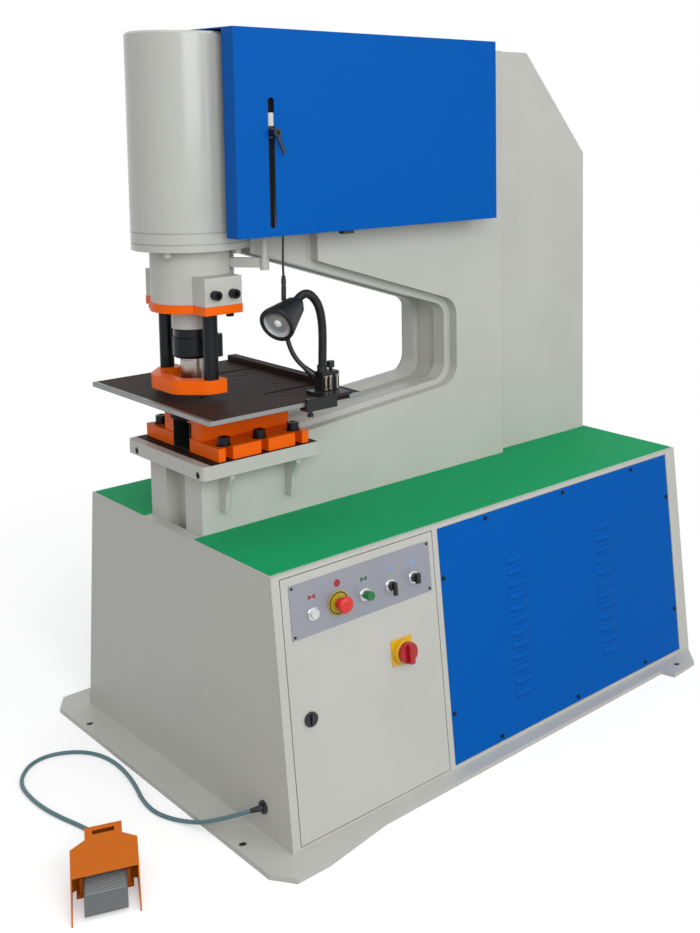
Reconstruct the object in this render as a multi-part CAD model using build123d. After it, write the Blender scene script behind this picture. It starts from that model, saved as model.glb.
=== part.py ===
from build123d import *
import math
import os

os.makedirs("parts", exist_ok=True)

# Row frame: mm, +Z up, +X from the punch to the rear of the machine, -Y the operator's side
# Origin on the floor straight below the punch centre, in the frame's middle plane

# Driving dimensions of the cabinet
CAB_FRONT = -93.0
CAB_REAR = 1380.0
CAB_TOP = 650.0
TOP_NEAR = -478.0
TOP_FAR = 422.0
SPLAY = 68.0
BASE_T = 12.0
SHEET = 3.0

# Driving dimensions of the C-frame
PLATE_IN = 48.0
PLATE_OUT = 98.0
DOUBLER_OUT = 130.0
JAW_FRONT = -65.0
FRAME_REAR = 1365.0
FRAME_TOP = 1893.0
DOUBLER_FRONT = 293.0
DOUBLER_REAR = 965.0
THROAT_BACK = 756.0
FLOOR_SLOPE = 0.089
ROOF_SLOPE = 0.331

# Driving dimensions of the punching head
BARREL_R = 146.0
BARREL_Z = 1365.0
BARREL_TOP = FRAME_TOP + 10
GLAND_H = 40.0
CROWN_H = 38.0
PISTON_H = 55.0
GUIDE_R = 103.0
ROD_R = 55.0
PISTON_R = 110.0
RUN = 0.05
STROKE = 60.0
PUNCH_R = 36.0

# Driving dimensions of the bed and table
BED_Z = 811.0
BED_TOP = 847.0
BED_REAR = 237.0
BED_HALF = 195.0
TABLE_Z = 976.0
TABLE_TOP = 988.0
TABLE_HALF = 302.0
DIE_R = 65.0

# Driving dimensions of the upper cover
COVER_FRONT = -5.0
COVER_REAR = 847.0
COVER_HALF = 233.0
COVER_Z = 1400.0
COVER_LIFT = 18.0
COVER_TOP = FRAME_TOP + COVER_LIFT

SEAT = 0.3


def save(solid, name):
    export_step(solid, f"parts/{name}.step")


def face(points, radii=None):
    """Closed outline with some corners rounded, in the local plane."""
    sketch = make_face(Polyline(*points, close=True))
    for index, radius in (radii or {}).items():
        x, y = points[index][0], points[index][1]
        corner = [v for v in sketch.vertices() if abs(v.X - x) < 0.01 and abs(v.Y - y) < 0.01]
        sketch = fillet(corner, radius)
    return sketch


def side_plate(points, y0, y1, radii=None):
    """Outline in X and Z, as thick as from y0 to y1."""
    plane = Plane(origin=(0, y1, 0), x_dir=(1, 0, 0), z_dir=(0, -1, 0))
    return extrude(plane * face(points, radii), amount=y1 - y0)


def flat_plate(points, z0, z1, radii=None):
    """Outline in X and Y, as thick as from z0 to z1."""
    return extrude(Pos(0, 0, z0) * face(points, radii), amount=z1 - z0)


def end_plate(points, x0, x1, radii=None):
    """Outline in Y and Z, as thick as from x0 to x1."""
    plane = Plane(origin=(x0, 0, 0), x_dir=(0, 1, 0), z_dir=(1, 0, 0))
    return extrude(plane * face(points, radii), amount=x1 - x0)


def block(x0, x1, y0, y1, z0, z1):
    return Pos((x0 + x1) / 2, (y0 + y1) / 2, (z0 + z1) / 2) * Box(x1 - x0, y1 - y0, z1 - z0)


def upright(x, y, z0, z1, radius):
    return Pos(x, y, (z0 + z1) / 2) * Cylinder(radius, z1 - z0)


def along_y(x, z, y0, y1, radius):
    return Pos(x, (y0 + y1) / 2, z) * Rot(90, 0, 0) * Cylinder(radius, y1 - y0)


def along_x(y, z, x0, x1, radius):
    return Pos((x0 + x1) / 2, y, z) * Rot(0, 90, 0) * Cylinder(radius, x1 - x0)


def hex_head(radius, height):
    return extrude(RegularPolygon(radius, 6), amount=height)


def socket_head(radius, height, key):
    """Head standing on the local origin, with its key socket open at the top."""
    return Pos(0, 0, height / 2) * Cylinder(radius, height) - Pos(0, 0, height * 0.45) * hex_head(key, height)


# Base plate with chamfered feet
base = flat_plate([
    (-171, -568), (-135, -628), (-48, -628), (137, -594), (1197, -584), (1207, -628), (1312, -620),
    (1382, -540), (1382, 484), (1312, 564), (1207, 572), (1197, 528), (137, 538), (-48, 572),
    (-135, 572), (-171, 512)], 0, BASE_T)
for x, y in [(-150, -425), (-150, 369), (1262, -590), (1262, 534)]:
    base -= upright(x, y, -1, BASE_T + 1, 9)
save(base, "base_plate")

# Cabinet cross-section, wider at the floor than at the top
DROP = CAB_TOP - BASE_T
RISE = DROP / math.hypot(DROP, SPLAY)
LEAN = SPLAY / math.hypot(DROP, SPLAY)


def near_y(z, depth=0.0):
    """Y of the near wall's outer face at a height, or of a layer at a depth below it."""
    return TOP_NEAR - SPLAY * (CAB_TOP - z) / DROP + depth / RISE


def far_y(z, depth=0.0):
    return TOP_FAR + SPLAY * (CAB_TOP - z) / DROP - depth / RISE


# Plane of the near wall: local x is X, local y runs up the slope, local z points out
NEAR = Plane(origin=(0, TOP_NEAR, CAB_TOP), x_dir=(1, 0, 0), z_dir=(0, -RISE, LEAN))


def near_block(x0, x1, s0, s1, n0, n1):
    """Block on the near wall, s down the slope from the top edge and n outward."""
    body = Pos((x0 + x1) / 2, -(s0 + s1) / 2, (n0 + n1) / 2) * Box(x1 - x0, s1 - s0, n1 - n0)
    return NEAR * body


def near_spot(x, s, n=0.0):
    """Location on the near wall with its local z pointing out."""
    return NEAR.location * Pos(x, -s, n)


WALL_Z = CAB_TOP - SHEET
SLOPE_L = math.hypot(DROP, SPLAY)

# Cabinet front wall with the pedal cable's outlet
front_wall = end_plate([
    (near_y(BASE_T, SHEET + SEAT), BASE_T), (far_y(BASE_T, SHEET + SEAT), BASE_T),
    (far_y(WALL_Z, SHEET + SEAT), WALL_Z), (near_y(WALL_Z, SHEET + SEAT), WALL_Z)],
    CAB_FRONT, CAB_FRONT + SHEET)
front_wall -= along_x(-427, 78, CAB_FRONT - 1, CAB_FRONT + 4, 10.3)
save(front_wall, "cabinet_front_wall")

# Cabinet rear wall with a vent grille of slots
rear_wall = end_plate([
    (near_y(BASE_T, SHEET + SEAT), BASE_T), (far_y(BASE_T, SHEET + SEAT), BASE_T),
    (far_y(WALL_Z, SHEET + SEAT), WALL_Z), (near_y(WALL_Z, SHEET + SEAT), WALL_Z)],
    CAB_REAR - SHEET, CAB_REAR)
for row in range(6):
    for y in (-300, 270):
        rear_wall -= block(CAB_REAR - 5, CAB_REAR + 1, y - 60, y + 60, 380 + 28 * row, 388 + 28 * row)
save(rear_wall, "cabinet_rear_wall")

# Cabinet near wall: a sloped frame round the door and the louvred panel
DOOR = (-71.0, 383.0, 12.0, 636.0)
PANEL = (400.0, 1336.0, 12.0, 634.0)
near_wall = end_plate([
    (near_y(BASE_T), BASE_T), (near_y(BASE_T, 8), BASE_T),
    (near_y(WALL_Z, 8), WALL_Z), (near_y(WALL_Z), WALL_Z)], CAB_FRONT, CAB_REAR)
near_wall -= near_block(CAB_FRONT - 1, DOOR[0], -9, SLOPE_L + 9, -9, -SHEET)
near_wall -= near_block(PANEL[1] + 16, CAB_REAR + 1, -9, SLOPE_L + 9, -9, -SHEET)
near_wall -= near_block(DOOR[0], DOOR[1], DOOR[2], DOOR[3], -9, 1)
near_wall += near_block(DOOR[0] - 2, DOOR[1] + 2, DOOR[2] - 2, DOOR[3] + 2, -25, -SHEET + 0.5)
near_wall -= near_block(DOOR[0], DOOR[1], DOOR[2], DOOR[3], -22.3, 1)
near_wall -= near_block(DOOR[0] + 10, DOOR[1] - 10, DOOR[2] + 10, DOOR[3] - 10, -26, 1)
near_wall -= near_block(PANEL[0], PANEL[1], PANEL[2], PANEL[3], -SHEET, 1)
near_wall -= near_block(PANEL[0] + 16, PANEL[1] - 16, PANEL[2] + 14, PANEL[3] - 14, -9, 1)
save(near_wall, "cabinet_side_near")

# Cabinet far wall with pressed vent slots
far_wall = end_plate([
    (far_y(BASE_T), BASE_T), (far_y(BASE_T, SHEET), BASE_T),
    (far_y(WALL_Z, SHEET), WALL_Z), (far_y(WALL_Z), WALL_Z)], CAB_FRONT, CAB_REAR)
for row in range(7):
    for x in (664, 1019):
        far_wall -= block(x - 34, x + 34, 415, 500, 250 + 40 * row, 258 + 40 * row)
save(far_wall, "cabinet_side_far")

# Cabinet top plate, notched round the C-frame
top_plate = flat_plate([
    (CAB_FRONT, TOP_NEAR), (CAB_REAR, TOP_NEAR), (CAB_REAR, TOP_FAR), (CAB_FRONT, TOP_FAR)],
    WALL_Z, CAB_TOP)
notch = flat_plate([
    (JAW_FRONT - SEAT, -DOUBLER_OUT - SEAT), (DOUBLER_REAR + SEAT, -DOUBLER_OUT - SEAT),
    (DOUBLER_REAR + SEAT, -PLATE_OUT - SEAT), (FRAME_REAR + SEAT, -PLATE_OUT - SEAT),
    (FRAME_REAR + SEAT, PLATE_OUT + SEAT), (DOUBLER_REAR + SEAT, PLATE_OUT + SEAT),
    (DOUBLER_REAR + SEAT, DOUBLER_OUT + SEAT), (JAW_FRONT - SEAT, DOUBLER_OUT + SEAT)],
    WALL_Z - 1, CAB_TOP + 3)
save(top_plate - notch, "cabinet_top")

# Ribbed green mat on the top, open at the front of the frame
mat = flat_plate([
    (CAB_FRONT + 5, TOP_NEAR + 9), (CAB_REAR - 6, TOP_NEAR + 9),
    (CAB_REAR - 6, TOP_FAR - 9), (CAB_FRONT + 5, TOP_FAR - 9)], CAB_TOP, CAB_TOP + 2)
mat -= notch
mat -= block(CAB_FRONT, JAW_FRONT + 1, -DOUBLER_OUT - SEAT, DOUBLER_OUT + SEAT, CAB_TOP - 1, CAB_TOP + 3)
save(mat, "top_mat")


def floor_line(x, lift=0.0):
    """Height of the throat's floor at the doublers, or lifted above it."""
    return 867 + FLOOR_SLOPE * (x - 321) + lift


def roof_line(x, lift=0.0):
    return 1290 - ROOF_SLOPE * (x - 293) + lift


# Main side plates of the C-frame, cut to hug the cylinder
PLATE = [
    (JAW_FRONT, BASE_T), (JAW_FRONT, BED_Z), (BED_REAR + SEAT, BED_Z),
    (BED_REAR + SEAT, floor_line(BED_REAR, 16)), (THROAT_BACK, floor_line(THROAT_BACK, 16)),
    (THROAT_BACK, roof_line(THROAT_BACK)), (60, roof_line(60)), (60, FRAME_TOP),
    (1104, FRAME_TOP), (FRAME_REAR, 1576), (FRAME_REAR, BASE_T)]
saddle = upright(0, 0, BARREL_Z - 65, BARREL_TOP + 100, BARREL_R + SEAT)
for name, y0, y1 in [("near", -PLATE_OUT, -PLATE_IN), ("far", PLATE_IN, PLATE_OUT)]:
    plate = side_plate(PLATE, y0, y1, {4: 45, 5: 45})
    save(plate - saddle, f"frame_plate_{name}")

# Doubler plates welded outside the side plates, set back round the throat
DOUBLER = [
    (JAW_FRONT, BASE_T), (JAW_FRONT, BED_Z), (BED_REAR + SEAT, BED_Z),
    (BED_REAR + SEAT, floor_line(BED_REAR)), (THROAT_BACK + 22, floor_line(THROAT_BACK + 22)),
    (THROAT_BACK + 22, roof_line(THROAT_BACK + 22, 23)), (DOUBLER_FRONT, roof_line(DOUBLER_FRONT, 23)),
    (DOUBLER_FRONT, FRAME_TOP), (DOUBLER_REAR, FRAME_TOP), (DOUBLER_REAR, BASE_T)]
for name, y0, y1 in [("near", -DOUBLER_OUT, -PLATE_OUT), ("far", PLATE_OUT, DOUBLER_OUT)]:
    save(side_plate(DOUBLER, y0, y1, {4: 60, 5: 60}), f"frame_doubler_{name}")

# Throat liner: a bent plate between the side plates, recessed behind their edges
LINER_IN = THROAT_BACK + 17
LINER_OUT = LINER_IN + 18
liner = side_plate([
    (BED_REAR + SEAT, floor_line(BED_REAR, -1)), (LINER_IN, floor_line(LINER_IN, -1)),
    (LINER_IN, roof_line(LINER_IN, 17)), (130, roof_line(130, 17)), (130, roof_line(130, 36)),
    (LINER_OUT, roof_line(LINER_OUT, 36)), (LINER_OUT, floor_line(LINER_OUT, -19)),
    (BED_REAR + SEAT, floor_line(BED_REAR, -19))],
    -PLATE_IN, PLATE_IN, {1: 42, 2: 42, 5: 60, 6: 60})
save(liner - saddle, "throat_liner")

# Spine: the bent plate that closes the frame's rear, slope and top between the side plates
spine = side_plate([
    (FRAME_REAR, BASE_T), (FRAME_REAR, 1576), (1104, FRAME_TOP), (130, FRAME_TOP),
    (130, FRAME_TOP - 20), (1094.6, FRAME_TOP - 20), (1345, 1568.9), (1345, BASE_T)], -PLATE_IN, PLATE_IN)
save(spine - saddle, "frame_spine")

# Jaw front plate, set back between the side plates below the bed
save(block(-30, -10, -PLATE_IN, PLATE_IN, BASE_T, BED_Z), "jaw_front_plate")

# Bed plate with its four gussets
bed = flat_plate([(-73, -BED_HALF), (BED_REAR, -BED_HALF), (BED_REAR, BED_HALF), (-73, BED_HALF)],
                 BED_Z, BED_TOP)
for side in (-1, 1):
    for x in (-10, 182):
        rib = end_plate([
            (side * (DOUBLER_OUT + SEAT), BED_Z - 104), (side * (DOUBLER_OUT + SEAT + 27), BED_Z - 104),
            (side * (DOUBLER_OUT + 33), BED_Z - 52), (side * (BED_HALF - 9), BED_Z - 12),
            (side * (BED_HALF - 9), BED_Z + 5), (side * (DOUBLER_OUT + SEAT), BED_Z + 5)], x - 6, x + 6, {2: 50})
        bed += rib
save(bed, "bed_plate")

# Front bar across the bed, held by two screws
bar = flat_plate([(-95, -BED_HALF), (-73, -BED_HALF), (-73, BED_HALF), (-95, BED_HALF)],
                 BED_Z, BED_TOP, {0: 16, 3: 16})
for y in (-169, 144):
    bar -= along_x(y, 823, -96, -89, 9.3)
save(bar, "bed_front_bar")

# Die holder: a bolted foot with slots, a body and the slug outlet
SLOTS = [-16.0, 85.0, 185.0]
FLANGE_TOP = BED_TOP + 34
CHUTE_TOP = BED_TOP + 72
DIE_Z = TABLE_TOP - 60
holder = block(-45, 215, -184, 184, BED_TOP, FLANGE_TOP)
holder += block(-40, 214, -93, 93, BED_TOP, TABLE_Z)
for x in SLOTS:
    for side in (-1, 1):
        holder -= upright(x, side * 158, BED_TOP - 1, FLANGE_TOP + 1, 10.5)
        holder -= block(x - 10.5, x + 10.5, min(side * 158, side * 186), max(side * 158, side * 186),
                        BED_TOP - 1, FLANGE_TOP + 1)
holder -= block(-47, 60, -42, 42, BED_TOP - 1, CHUTE_TOP)
holder -= upright(0, 0, CHUTE_TOP - 9, DIE_Z + 9, 46)
holder -= upright(0, 0, DIE_Z, TABLE_Z + 4, DIE_R + SEAT)
save(holder, "die_holder")

# Die: a round hardened ring under the punch
die = upright(0, 0, DIE_Z, TABLE_TOP, DIE_R)
die -= upright(0, 0, DIE_Z + 32, TABLE_TOP + 2, PUNCH_R + 0.8)
die -= upright(0, 0, DIE_Z - 1, DIE_Z + 33, PUNCH_R + 4)
save(die, "die")

# Die holder bolts with washers
bolts = []
for x in SLOTS:
    for side in (-1, 1):
        bolts.append(upright(x, side * 158, FLANGE_TOP, FLANGE_TOP + 3, 18))
        bolts.append(Pos(x, side * 158, FLANGE_TOP + 3) * socket_head(15, 18, 8))
save(Compound(children=[a + b for a, b in zip(bolts[0::2], bolts[1::2])]), "die_bolts")

# Work table round the die
table = flat_plate([(-134, -TABLE_HALF), (296, -TABLE_HALF), (296, TABLE_HALF), (-134, TABLE_HALF)],
                   TABLE_Z, TABLE_TOP)
table -= upright(0, 0, TABLE_Z - 1, TABLE_TOP + 1, DIE_R + SEAT)
for y in (-150, 150):
    table -= block(105, 287, y - 6, y + 6, TABLE_Z - 1, TABLE_TOP + 1)
TABLE_SCREWS = [(-25, -75), (-25, 75), (190, -75), (190, 75)]
for x, y in TABLE_SCREWS:
    table -= upright(x, y, TABLE_TOP - 8, TABLE_TOP + 1, 9.3)
save(table, "work_table")

# Cylinder barrel with its grooved skirt, piston bore and gland
barrel = upright(0, 0, BARREL_Z, BARREL_TOP, BARREL_R)
barrel = chamfer(barrel.edges().group_by(Axis.Z)[-1], 6)
for z in (1383, 1411):
    barrel -= upright(0, 0, z - 1.5, z + 1.5, BARREL_R + 5) - upright(0, 0, z - 1.5, z + 1.5, BARREL_R - 2.5)
barrel -= upright(0, 0, BARREL_Z + GLAND_H, BARREL_TOP - CROWN_H, PISTON_R + RUN)
barrel -= upright(0, 0, BARREL_Z - 1, BARREL_Z + GLAND_H + 1, ROD_R + RUN)
save(barrel, "cylinder_barrel")

# Flange bolts under the barrel
FLANGE = [34, 124, 214, 304]
heads = []
for angle in FLANGE:
    x = 124 * math.cos(math.radians(angle))
    y = 124 * math.sin(math.radians(angle))
    heads.append(Pos(x, y, BARREL_Z) * Rot(180, 0, 0) * socket_head(9.5, 14, 5))
save(Compound(children=heads), "flange_bolts")

# Guide housing with two clamping lugs and the stop arm's slot
ARM = math.radians(-51.8)
guide = upright(0, 0, 1229.5, BARREL_Z, GUIDE_R)
guide += block(-51, 51, -150, 150, 1229.5, 1301)
guide -= upright(0, 0, 1250, BARREL_Z + 1, 80)
guide -= upright(0, 0, 1228, 1251, ROD_R + RUN)
arm_slot = Rot(0, 0, -51.8) * block(70, 120, -9, 9, 1312 - STROKE - 3, BARREL_Z + 1)
guide -= arm_slot
for side in (-1, 1):
    for x in (-25, 25):
        guide -= along_y(x, 1258, min(side * 140, side * 151), max(side * 140, side * 151), 7.3)
save(guide, "guide_housing")

# Lug screws with their shanks let into the lugs
screws = []
for side in (-1, 1):
    for x in (-25, 25):
        turn = Pos(x, side * 150, 1258) * Rot(-side * 90, 0, 0)
        screws.append(turn * socket_head(12, 18, 6.5) + turn * Pos(0, 0, -4.5) * Cylinder(7, 9))


# Stripper plate below the guide
stripper = upright(0, 0, 1208, 1229.5, 106)
stripper += block(-52, 52, -151, 151, 1208, 1229.5)
stripper -= upright(0, 0, 1207, 1230, ROD_R + 2)
save(stripper, "stripper_plate")

# Hexagon bolts that hold the stripper plate
hexes = list(screws)
for side in (-1, 1):
    for x, y in ((-40, 139), (28, 130)):
        hexes.append(Pos(x, side * y, 1208) * Rot(180, 0, 0) * hex_head(11, 10))
save(Compound(children=hexes), "head_screws")

# Stripper legs, the near one with its clamping pad
LEG_X = -18.0
LEG_Y = 112.0
FOOT_Z = 1006.0
FOOT_TOP = 1041.0
leg_near = upright(LEG_X, -LEG_Y, FOOT_TOP, 1208, 18) + upright(-5, -114, 1099, 1155, 17)
leg_far = upright(LEG_X, LEG_Y, FOOT_TOP, 1208, 18)
save(Compound(children=[leg_near, leg_far]), "stripper_legs")

# Stripper foot: a horseshoe open to the rear
foot = flat_plate([
    (14, -131), (-30, -131), (-94, -62), (-94, 62), (-30, 131), (14, 131),
    (14, 80), (-35, 80), (-62, 50), (-62, -50), (-35, -80), (14, -80)], FOOT_Z, FOOT_TOP,
    {1: 45, 2: 60, 3: 60, 4: 45, 7: 30, 8: 24, 9: 24, 10: 30})
save(foot, "stripper_foot")

# Piston and rod of the ram
PISTON_Z = BARREL_TOP - CROWN_H - 15 - PISTON_H
rod = upright(0, 0, 1160, PISTON_Z + 5, ROD_R) + upright(0, 0, PISTON_Z, PISTON_Z + PISTON_H, PISTON_R)
save(rod, "piston_rod")

# Punch coupling: a collar and a nut with a rounded lower rim
coupling = upright(0, 0, 1083, 1136, 54)
coupling = fillet(coupling.edges().group_by(Axis.Z)[0], 9)
coupling += upright(0, 0, 1135, 1160, 50)
save(coupling, "punch_coupling")

# Punch
punch = upright(0, 0, 1014, 1083, PUNCH_R) - upright(0, 0, 1076.5, 1079.5, 50) + upright(0, 0, 1076, 1080, 34)
save(punch, "punch")

# Stroke arm: a flat bar from the ram to the upright stroke rod
LINK_X = 190.8 * math.cos(ARM)
LINK_Y = 190.8 * math.sin(ARM)
arm = Rot(0, 0, -51.8) * block(50, 182, -6, 6, 1314, 1339)
arm -= upright(0, 0, 1300, 1350, ROD_R + 0.05)
arm += upright(LINK_X, LINK_Y, 1308, 1338, 11.5)
arm += upright(LINK_X, LINK_Y, 1308, 1742, 8)
save(arm, "stroke_arm")

# Upper cover: a folded saddle over the frame with flanges at both ends
cover = block(COVER_FRONT, COVER_REAR, -COVER_HALF, COVER_HALF, COVER_Z, COVER_TOP)
cover -= block(COVER_FRONT + SHEET, COVER_REAR - SHEET, -COVER_HALF + SHEET, COVER_HALF - SHEET,
               COVER_Z + SHEET, COVER_TOP - SHEET)
cover -= block(COVER_FRONT - 1, COVER_FRONT + 5, -181, 181, COVER_Z - 1, COVER_TOP - SHEET)
cover -= block(COVER_REAR - 5, COVER_REAR + 1, -DOUBLER_OUT - SEAT, DOUBLER_OUT + SEAT, COVER_Z - 1,
               COVER_TOP - SHEET)
cover -= block(COVER_FRONT - 1, COVER_REAR - SHEET, -181, 181, COVER_Z - 1, COVER_Z + 5)
cover -= block(COVER_REAR - 5, COVER_REAR + 1, -DOUBLER_OUT - SEAT, DOUBLER_OUT + SEAT, COVER_Z - 1, COVER_Z + 5)
SLOT_X = 95.0
slot = block(SLOT_X - 9, SLOT_X + 9, -COVER_HALF - 1, -COVER_HALF + 5, 1430, 1734)
slot += along_y(SLOT_X, 1430, -COVER_HALF - 1, -COVER_HALF + 5, 9)
slot += along_y(SLOT_X, 1734, -COVER_HALF - 1, -COVER_HALF + 5, 9)
cover -= slot
cover -= upright(142, -200, COVER_Z - 1, COVER_Z + 5, 3.7)
save(cover, "upper_cover")

# Stroke dog: the adjustable stop carrier that slides in the cover's slot
DOG_Z = 1657.0
dog = block(SLOT_X - 22, SLOT_X + 22, -COVER_HALF + SHEET + 0.05, -COVER_HALF + SHEET + 12, DOG_Z - 17, DOG_Z + 17)
dog += along_y(SLOT_X, DOG_Z, -COVER_HALF - 6, -COVER_HALF + SHEET + 1, 8.95)
dog += along_y(SLOT_X, DOG_Z, -COVER_HALF - 26, -COVER_HALF - 5, 5)
dog += along_y(SLOT_X, DOG_Z, -COVER_HALF - 6, -COVER_HALF - 0.05, 16)
save(dog, "stroke_dog")

# Clamping lever of the stroke dog
lever = along_y(SLOT_X, DOG_Z, -COVER_HALF - 28, -COVER_HALF - 6.3, 10)
lever -= along_y(SLOT_X, DOG_Z, -COVER_HALF - 29, -COVER_HALF - 6, 5.05)
stem = extrude(Plane(origin=(SLOT_X + 4, -COVER_HALF - 20, DOG_Z - 8), z_dir=(0.28, -0.25, -1)) * Circle(4.5), 46)
lever += stem - along_y(SLOT_X, DOG_Z, -COVER_HALF - 40, -COVER_HALF - 6, 6)
save(lever, "clamp_lever")

# Louvred panel on the near wall
panel = near_block(PANEL[0] + 2, PANEL[1] - 2, PANEL[2] + 2, PANEL[3] - 2, -SHEET, -0.8)
LOUVRE_S = [160 + 33.4 * i for i in range(12)]
louvre = extrude(Plane(origin=(-34, 0, 0), x_dir=(0, 1, 0), z_dir=(1, 0, 0)) * make_face(
    Polyline((-7, -1.5), (-4, 6.2), (7, -1.5), close=True)), amount=68)
vent = Pos(0, -7, -1) * Box(62, 5, 8)
for s in LOUVRE_S:
    for x in (664.0, 1019.0):
        panel -= near_spot(x, s) * vent
        panel += near_spot(x, s) * louvre
save(panel, "louvre_panel")

# Small screws of the louvred panel, the bed's front bar and the table
small = []
PANEL_SCREWS = [(568, 26), (868, 26), (1168, 26), (568, 618), (868, 618), (1168, 618),
                (410, 145), (410, 500), (1324, 145), (1324, 500)]
for x, s in PANEL_SCREWS:
    small.append(near_spot(x, s, -0.8) * Pos(0, 0, 2) * Cylinder(5, 4))
for y in (-169, 144):
    small.append(Pos(-89, y, 823) * Rot(0, -90, 0) * socket_head(9, 5.5, 4.5))
for x, y in TABLE_SCREWS:
    small.append(Pos(x, y, TABLE_TOP - 8) * socket_head(9, 7, 4.5))
save(Compound(children=small), "small_screws")

# Door: a folded pan hinged on its right edge
D0, D1, D2, D3 = DOOR[0] + 2, DOOR[1] - 2, DOOR[2] + 2, DOOR[3] - 2
LOCK = (-18.0, 354.0)
door = near_block(D0, D1, D2, D3, -22, 0)
door -= near_block(D0 + 2, D1 - 2, D2 + 2, D3 - 2, -23, -2)
door -= near_spot(LOCK[0], LOCK[1]) * Cylinder(11.05, 10)
DEVICES = {"push_white": (10.0, 114.0), "emergency": (83.0, 110.0), "push_green": (160.0, 112.0),
           "selector_left": (238.0, 112.0), "selector_right": (310.0, 112.0)}
HOLES = {"push_white": 11.1, "emergency": 11.1, "push_green": 11.1, "selector_left": 11.05,
         "selector_right": 11.05}
MAIN = (258.0, 283.0)
for key, (x, s) in DEVICES.items():
    door -= near_spot(x, s) * Cylinder(HOLES[key], 10)
door -= near_spot(MAIN[0], MAIN[1]) * Cylinder(9.05, 10)
save(door, "door")

# Control plate on the door
plate = near_block(-49, 367, 34, 162, SEAT, 2.3)
for key, (x, s) in DEVICES.items():
    plate -= near_spot(x, s) * Cylinder(HOLES[key], 10)
save(plate, "control_plate")


def bezel(radius, height):
    """Fixed ring of a button, open in the middle."""
    ring = Pos(0, 0, 2.3 + height / 2) * Cylinder(radius, height)
    return ring - Pos(0, 0, 5) * Cylinder(11.1, 20)


# Fixed bezels of the buttons and the yellow emergency plate
rings = []
for key in ("push_white", "push_green", "selector_left", "selector_right"):
    rings.append(near_spot(*DEVICES[key]) * bezel(15, 8))
rings.append(near_spot(*DEVICES["emergency"]) * bezel(30, 2))
yellow = Pos(0, 0, 1.15) * Box(64, 64, 2) + Pos(0, 0, 10.5) * Cylinder(30, 19) - Cylinder(9.05, 60)
rings.append(near_spot(*MAIN) * yellow)
save(Compound(children=rings), "control_bezels")

# Push buttons, each a cap on a stem through the door
for key, cap in (("push_white", 16), ("push_green", 31)):
    button = Pos(0, 0, (cap - 4) / 2) * Cylinder(11.0, cap + 4)
    button += Pos(0, 0, -14) * Cylinder(8, 24)
    save(near_spot(*DEVICES[key]) * button, key)

# Emergency stop mushroom
mushroom = Pos(0, 0, 2) * Cylinder(11.0, 20) + Pos(0, 0, 22) * Cylinder(14, 22)
head = Pos(0, 0, 33) * Cylinder(20, 14)
head = fillet(head.edges().group_by(Axis.Z)[-1], 5)
mushroom += head
mushroom += Pos(0, 0, -16) * Cylinder(8, 22)
save(near_spot(*DEVICES["emergency"]) * mushroom, "emergency_stop")

# Selector switches with their grips
selector = Pos(0, 0, 7) * Cylinder(11.0, 22) + Pos(0, 0, -14) * Cylinder(8, 22)
lever_grip = selector + Pos(0, -7, 22) * Box(9, 32, 12)
oval_grip = selector + Pos(0, 0, 22) * extrude(SlotOverall(26, 12), amount=6, both=True)
save(near_spot(*DEVICES["selector_left"]) * lever_grip, "selector_left")
save(near_spot(*DEVICES["selector_right"]) * oval_grip, "selector_right")

# Main switch: a red rotary handle
switch = Pos(0, 0, 6) * Cylinder(9, 32) + Pos(0, 0, 27.15) * Cylinder(26, 13.7) + Pos(0, 0, 39.5) * Box(16, 52, 13)
save(near_spot(*MAIN) * switch, "main_switch")

# Door lock: a quarter-turn with its cam inside
lock = Pos(0, 0, -5) * Cylinder(11, 22) + Pos(0, 0, 4.3) * Cylinder(17, 8) + Pos(0, 0, 11) * Box(8, 26, 6)
lock += Pos(-13, 0, -15) * Box(36, 14, 3)
save(near_spot(*LOCK) * lock, "door_lock")

# Fence bar along the table's rear, clamped through the table's two slots
fence = block(266, 292, -212, 296, TABLE_TOP + 0.05, TABLE_TOP + 15)
for y in (-150, 150):
    fence += upright(279, y, TABLE_Z - 12, TABLE_TOP + 1, 5.95)
    fence += upright(279, y, TABLE_Z - 12, TABLE_Z - 0.05, 13)
save(fence, "fence")

# Lamp bracket clamped over the table's near edge, with its clamp screw
LAMP_Y = -TABLE_HALF + 58
bracket = block(186, 262, -TABLE_HALF - 10, LAMP_Y + 22, TABLE_TOP + SEAT, TABLE_TOP + 8)
bracket += block(128, 218, -TABLE_HALF - 10, -TABLE_HALF - SEAT, TABLE_Z - 12, TABLE_TOP + 8)
bracket += block(128, 218, -TABLE_HALF - 10, -TABLE_HALF + 22, TABLE_Z - 12, TABLE_Z - 6)
bracket += upright(150, -TABLE_HALF + 10, TABLE_Z - 30, TABLE_Z - SEAT, 5)
bracket += upright(150, -TABLE_HALF + 10, TABLE_Z - 30, TABLE_Z - 23, 8)
save(bracket, "lamp_bracket")

# Lamp base block, thumb knob and gooseneck
stand = block(208, 260, LAMP_Y - 18, LAMP_Y + 18, TABLE_TOP + 8, 1043)
stand += upright(247, LAMP_Y, 1042, 1052, 5) + upright(247, LAMP_Y, 1051, 1067, 10)
stand += upright(221, LAMP_Y, 1042, 1060, 13)
NECK = [(221, 1046), (224, 1109), (224, 1166), (217, 1209), (202, 1235), (183, 1251), (163, 1249)]
neck_points = [(x, LAMP_Y, z) for x, z in NECK] + [(148, LAMP_Y - 1, 1236)]
neck_path = FilletPolyline(*neck_points, radius=[300, 300, 70, 42, 26, 26])
stand += sweep(Plane(origin=neck_points[0], z_dir=neck_path % 0) * Circle(10), path=neck_path)
save(stand, "lamp_stand")

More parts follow.
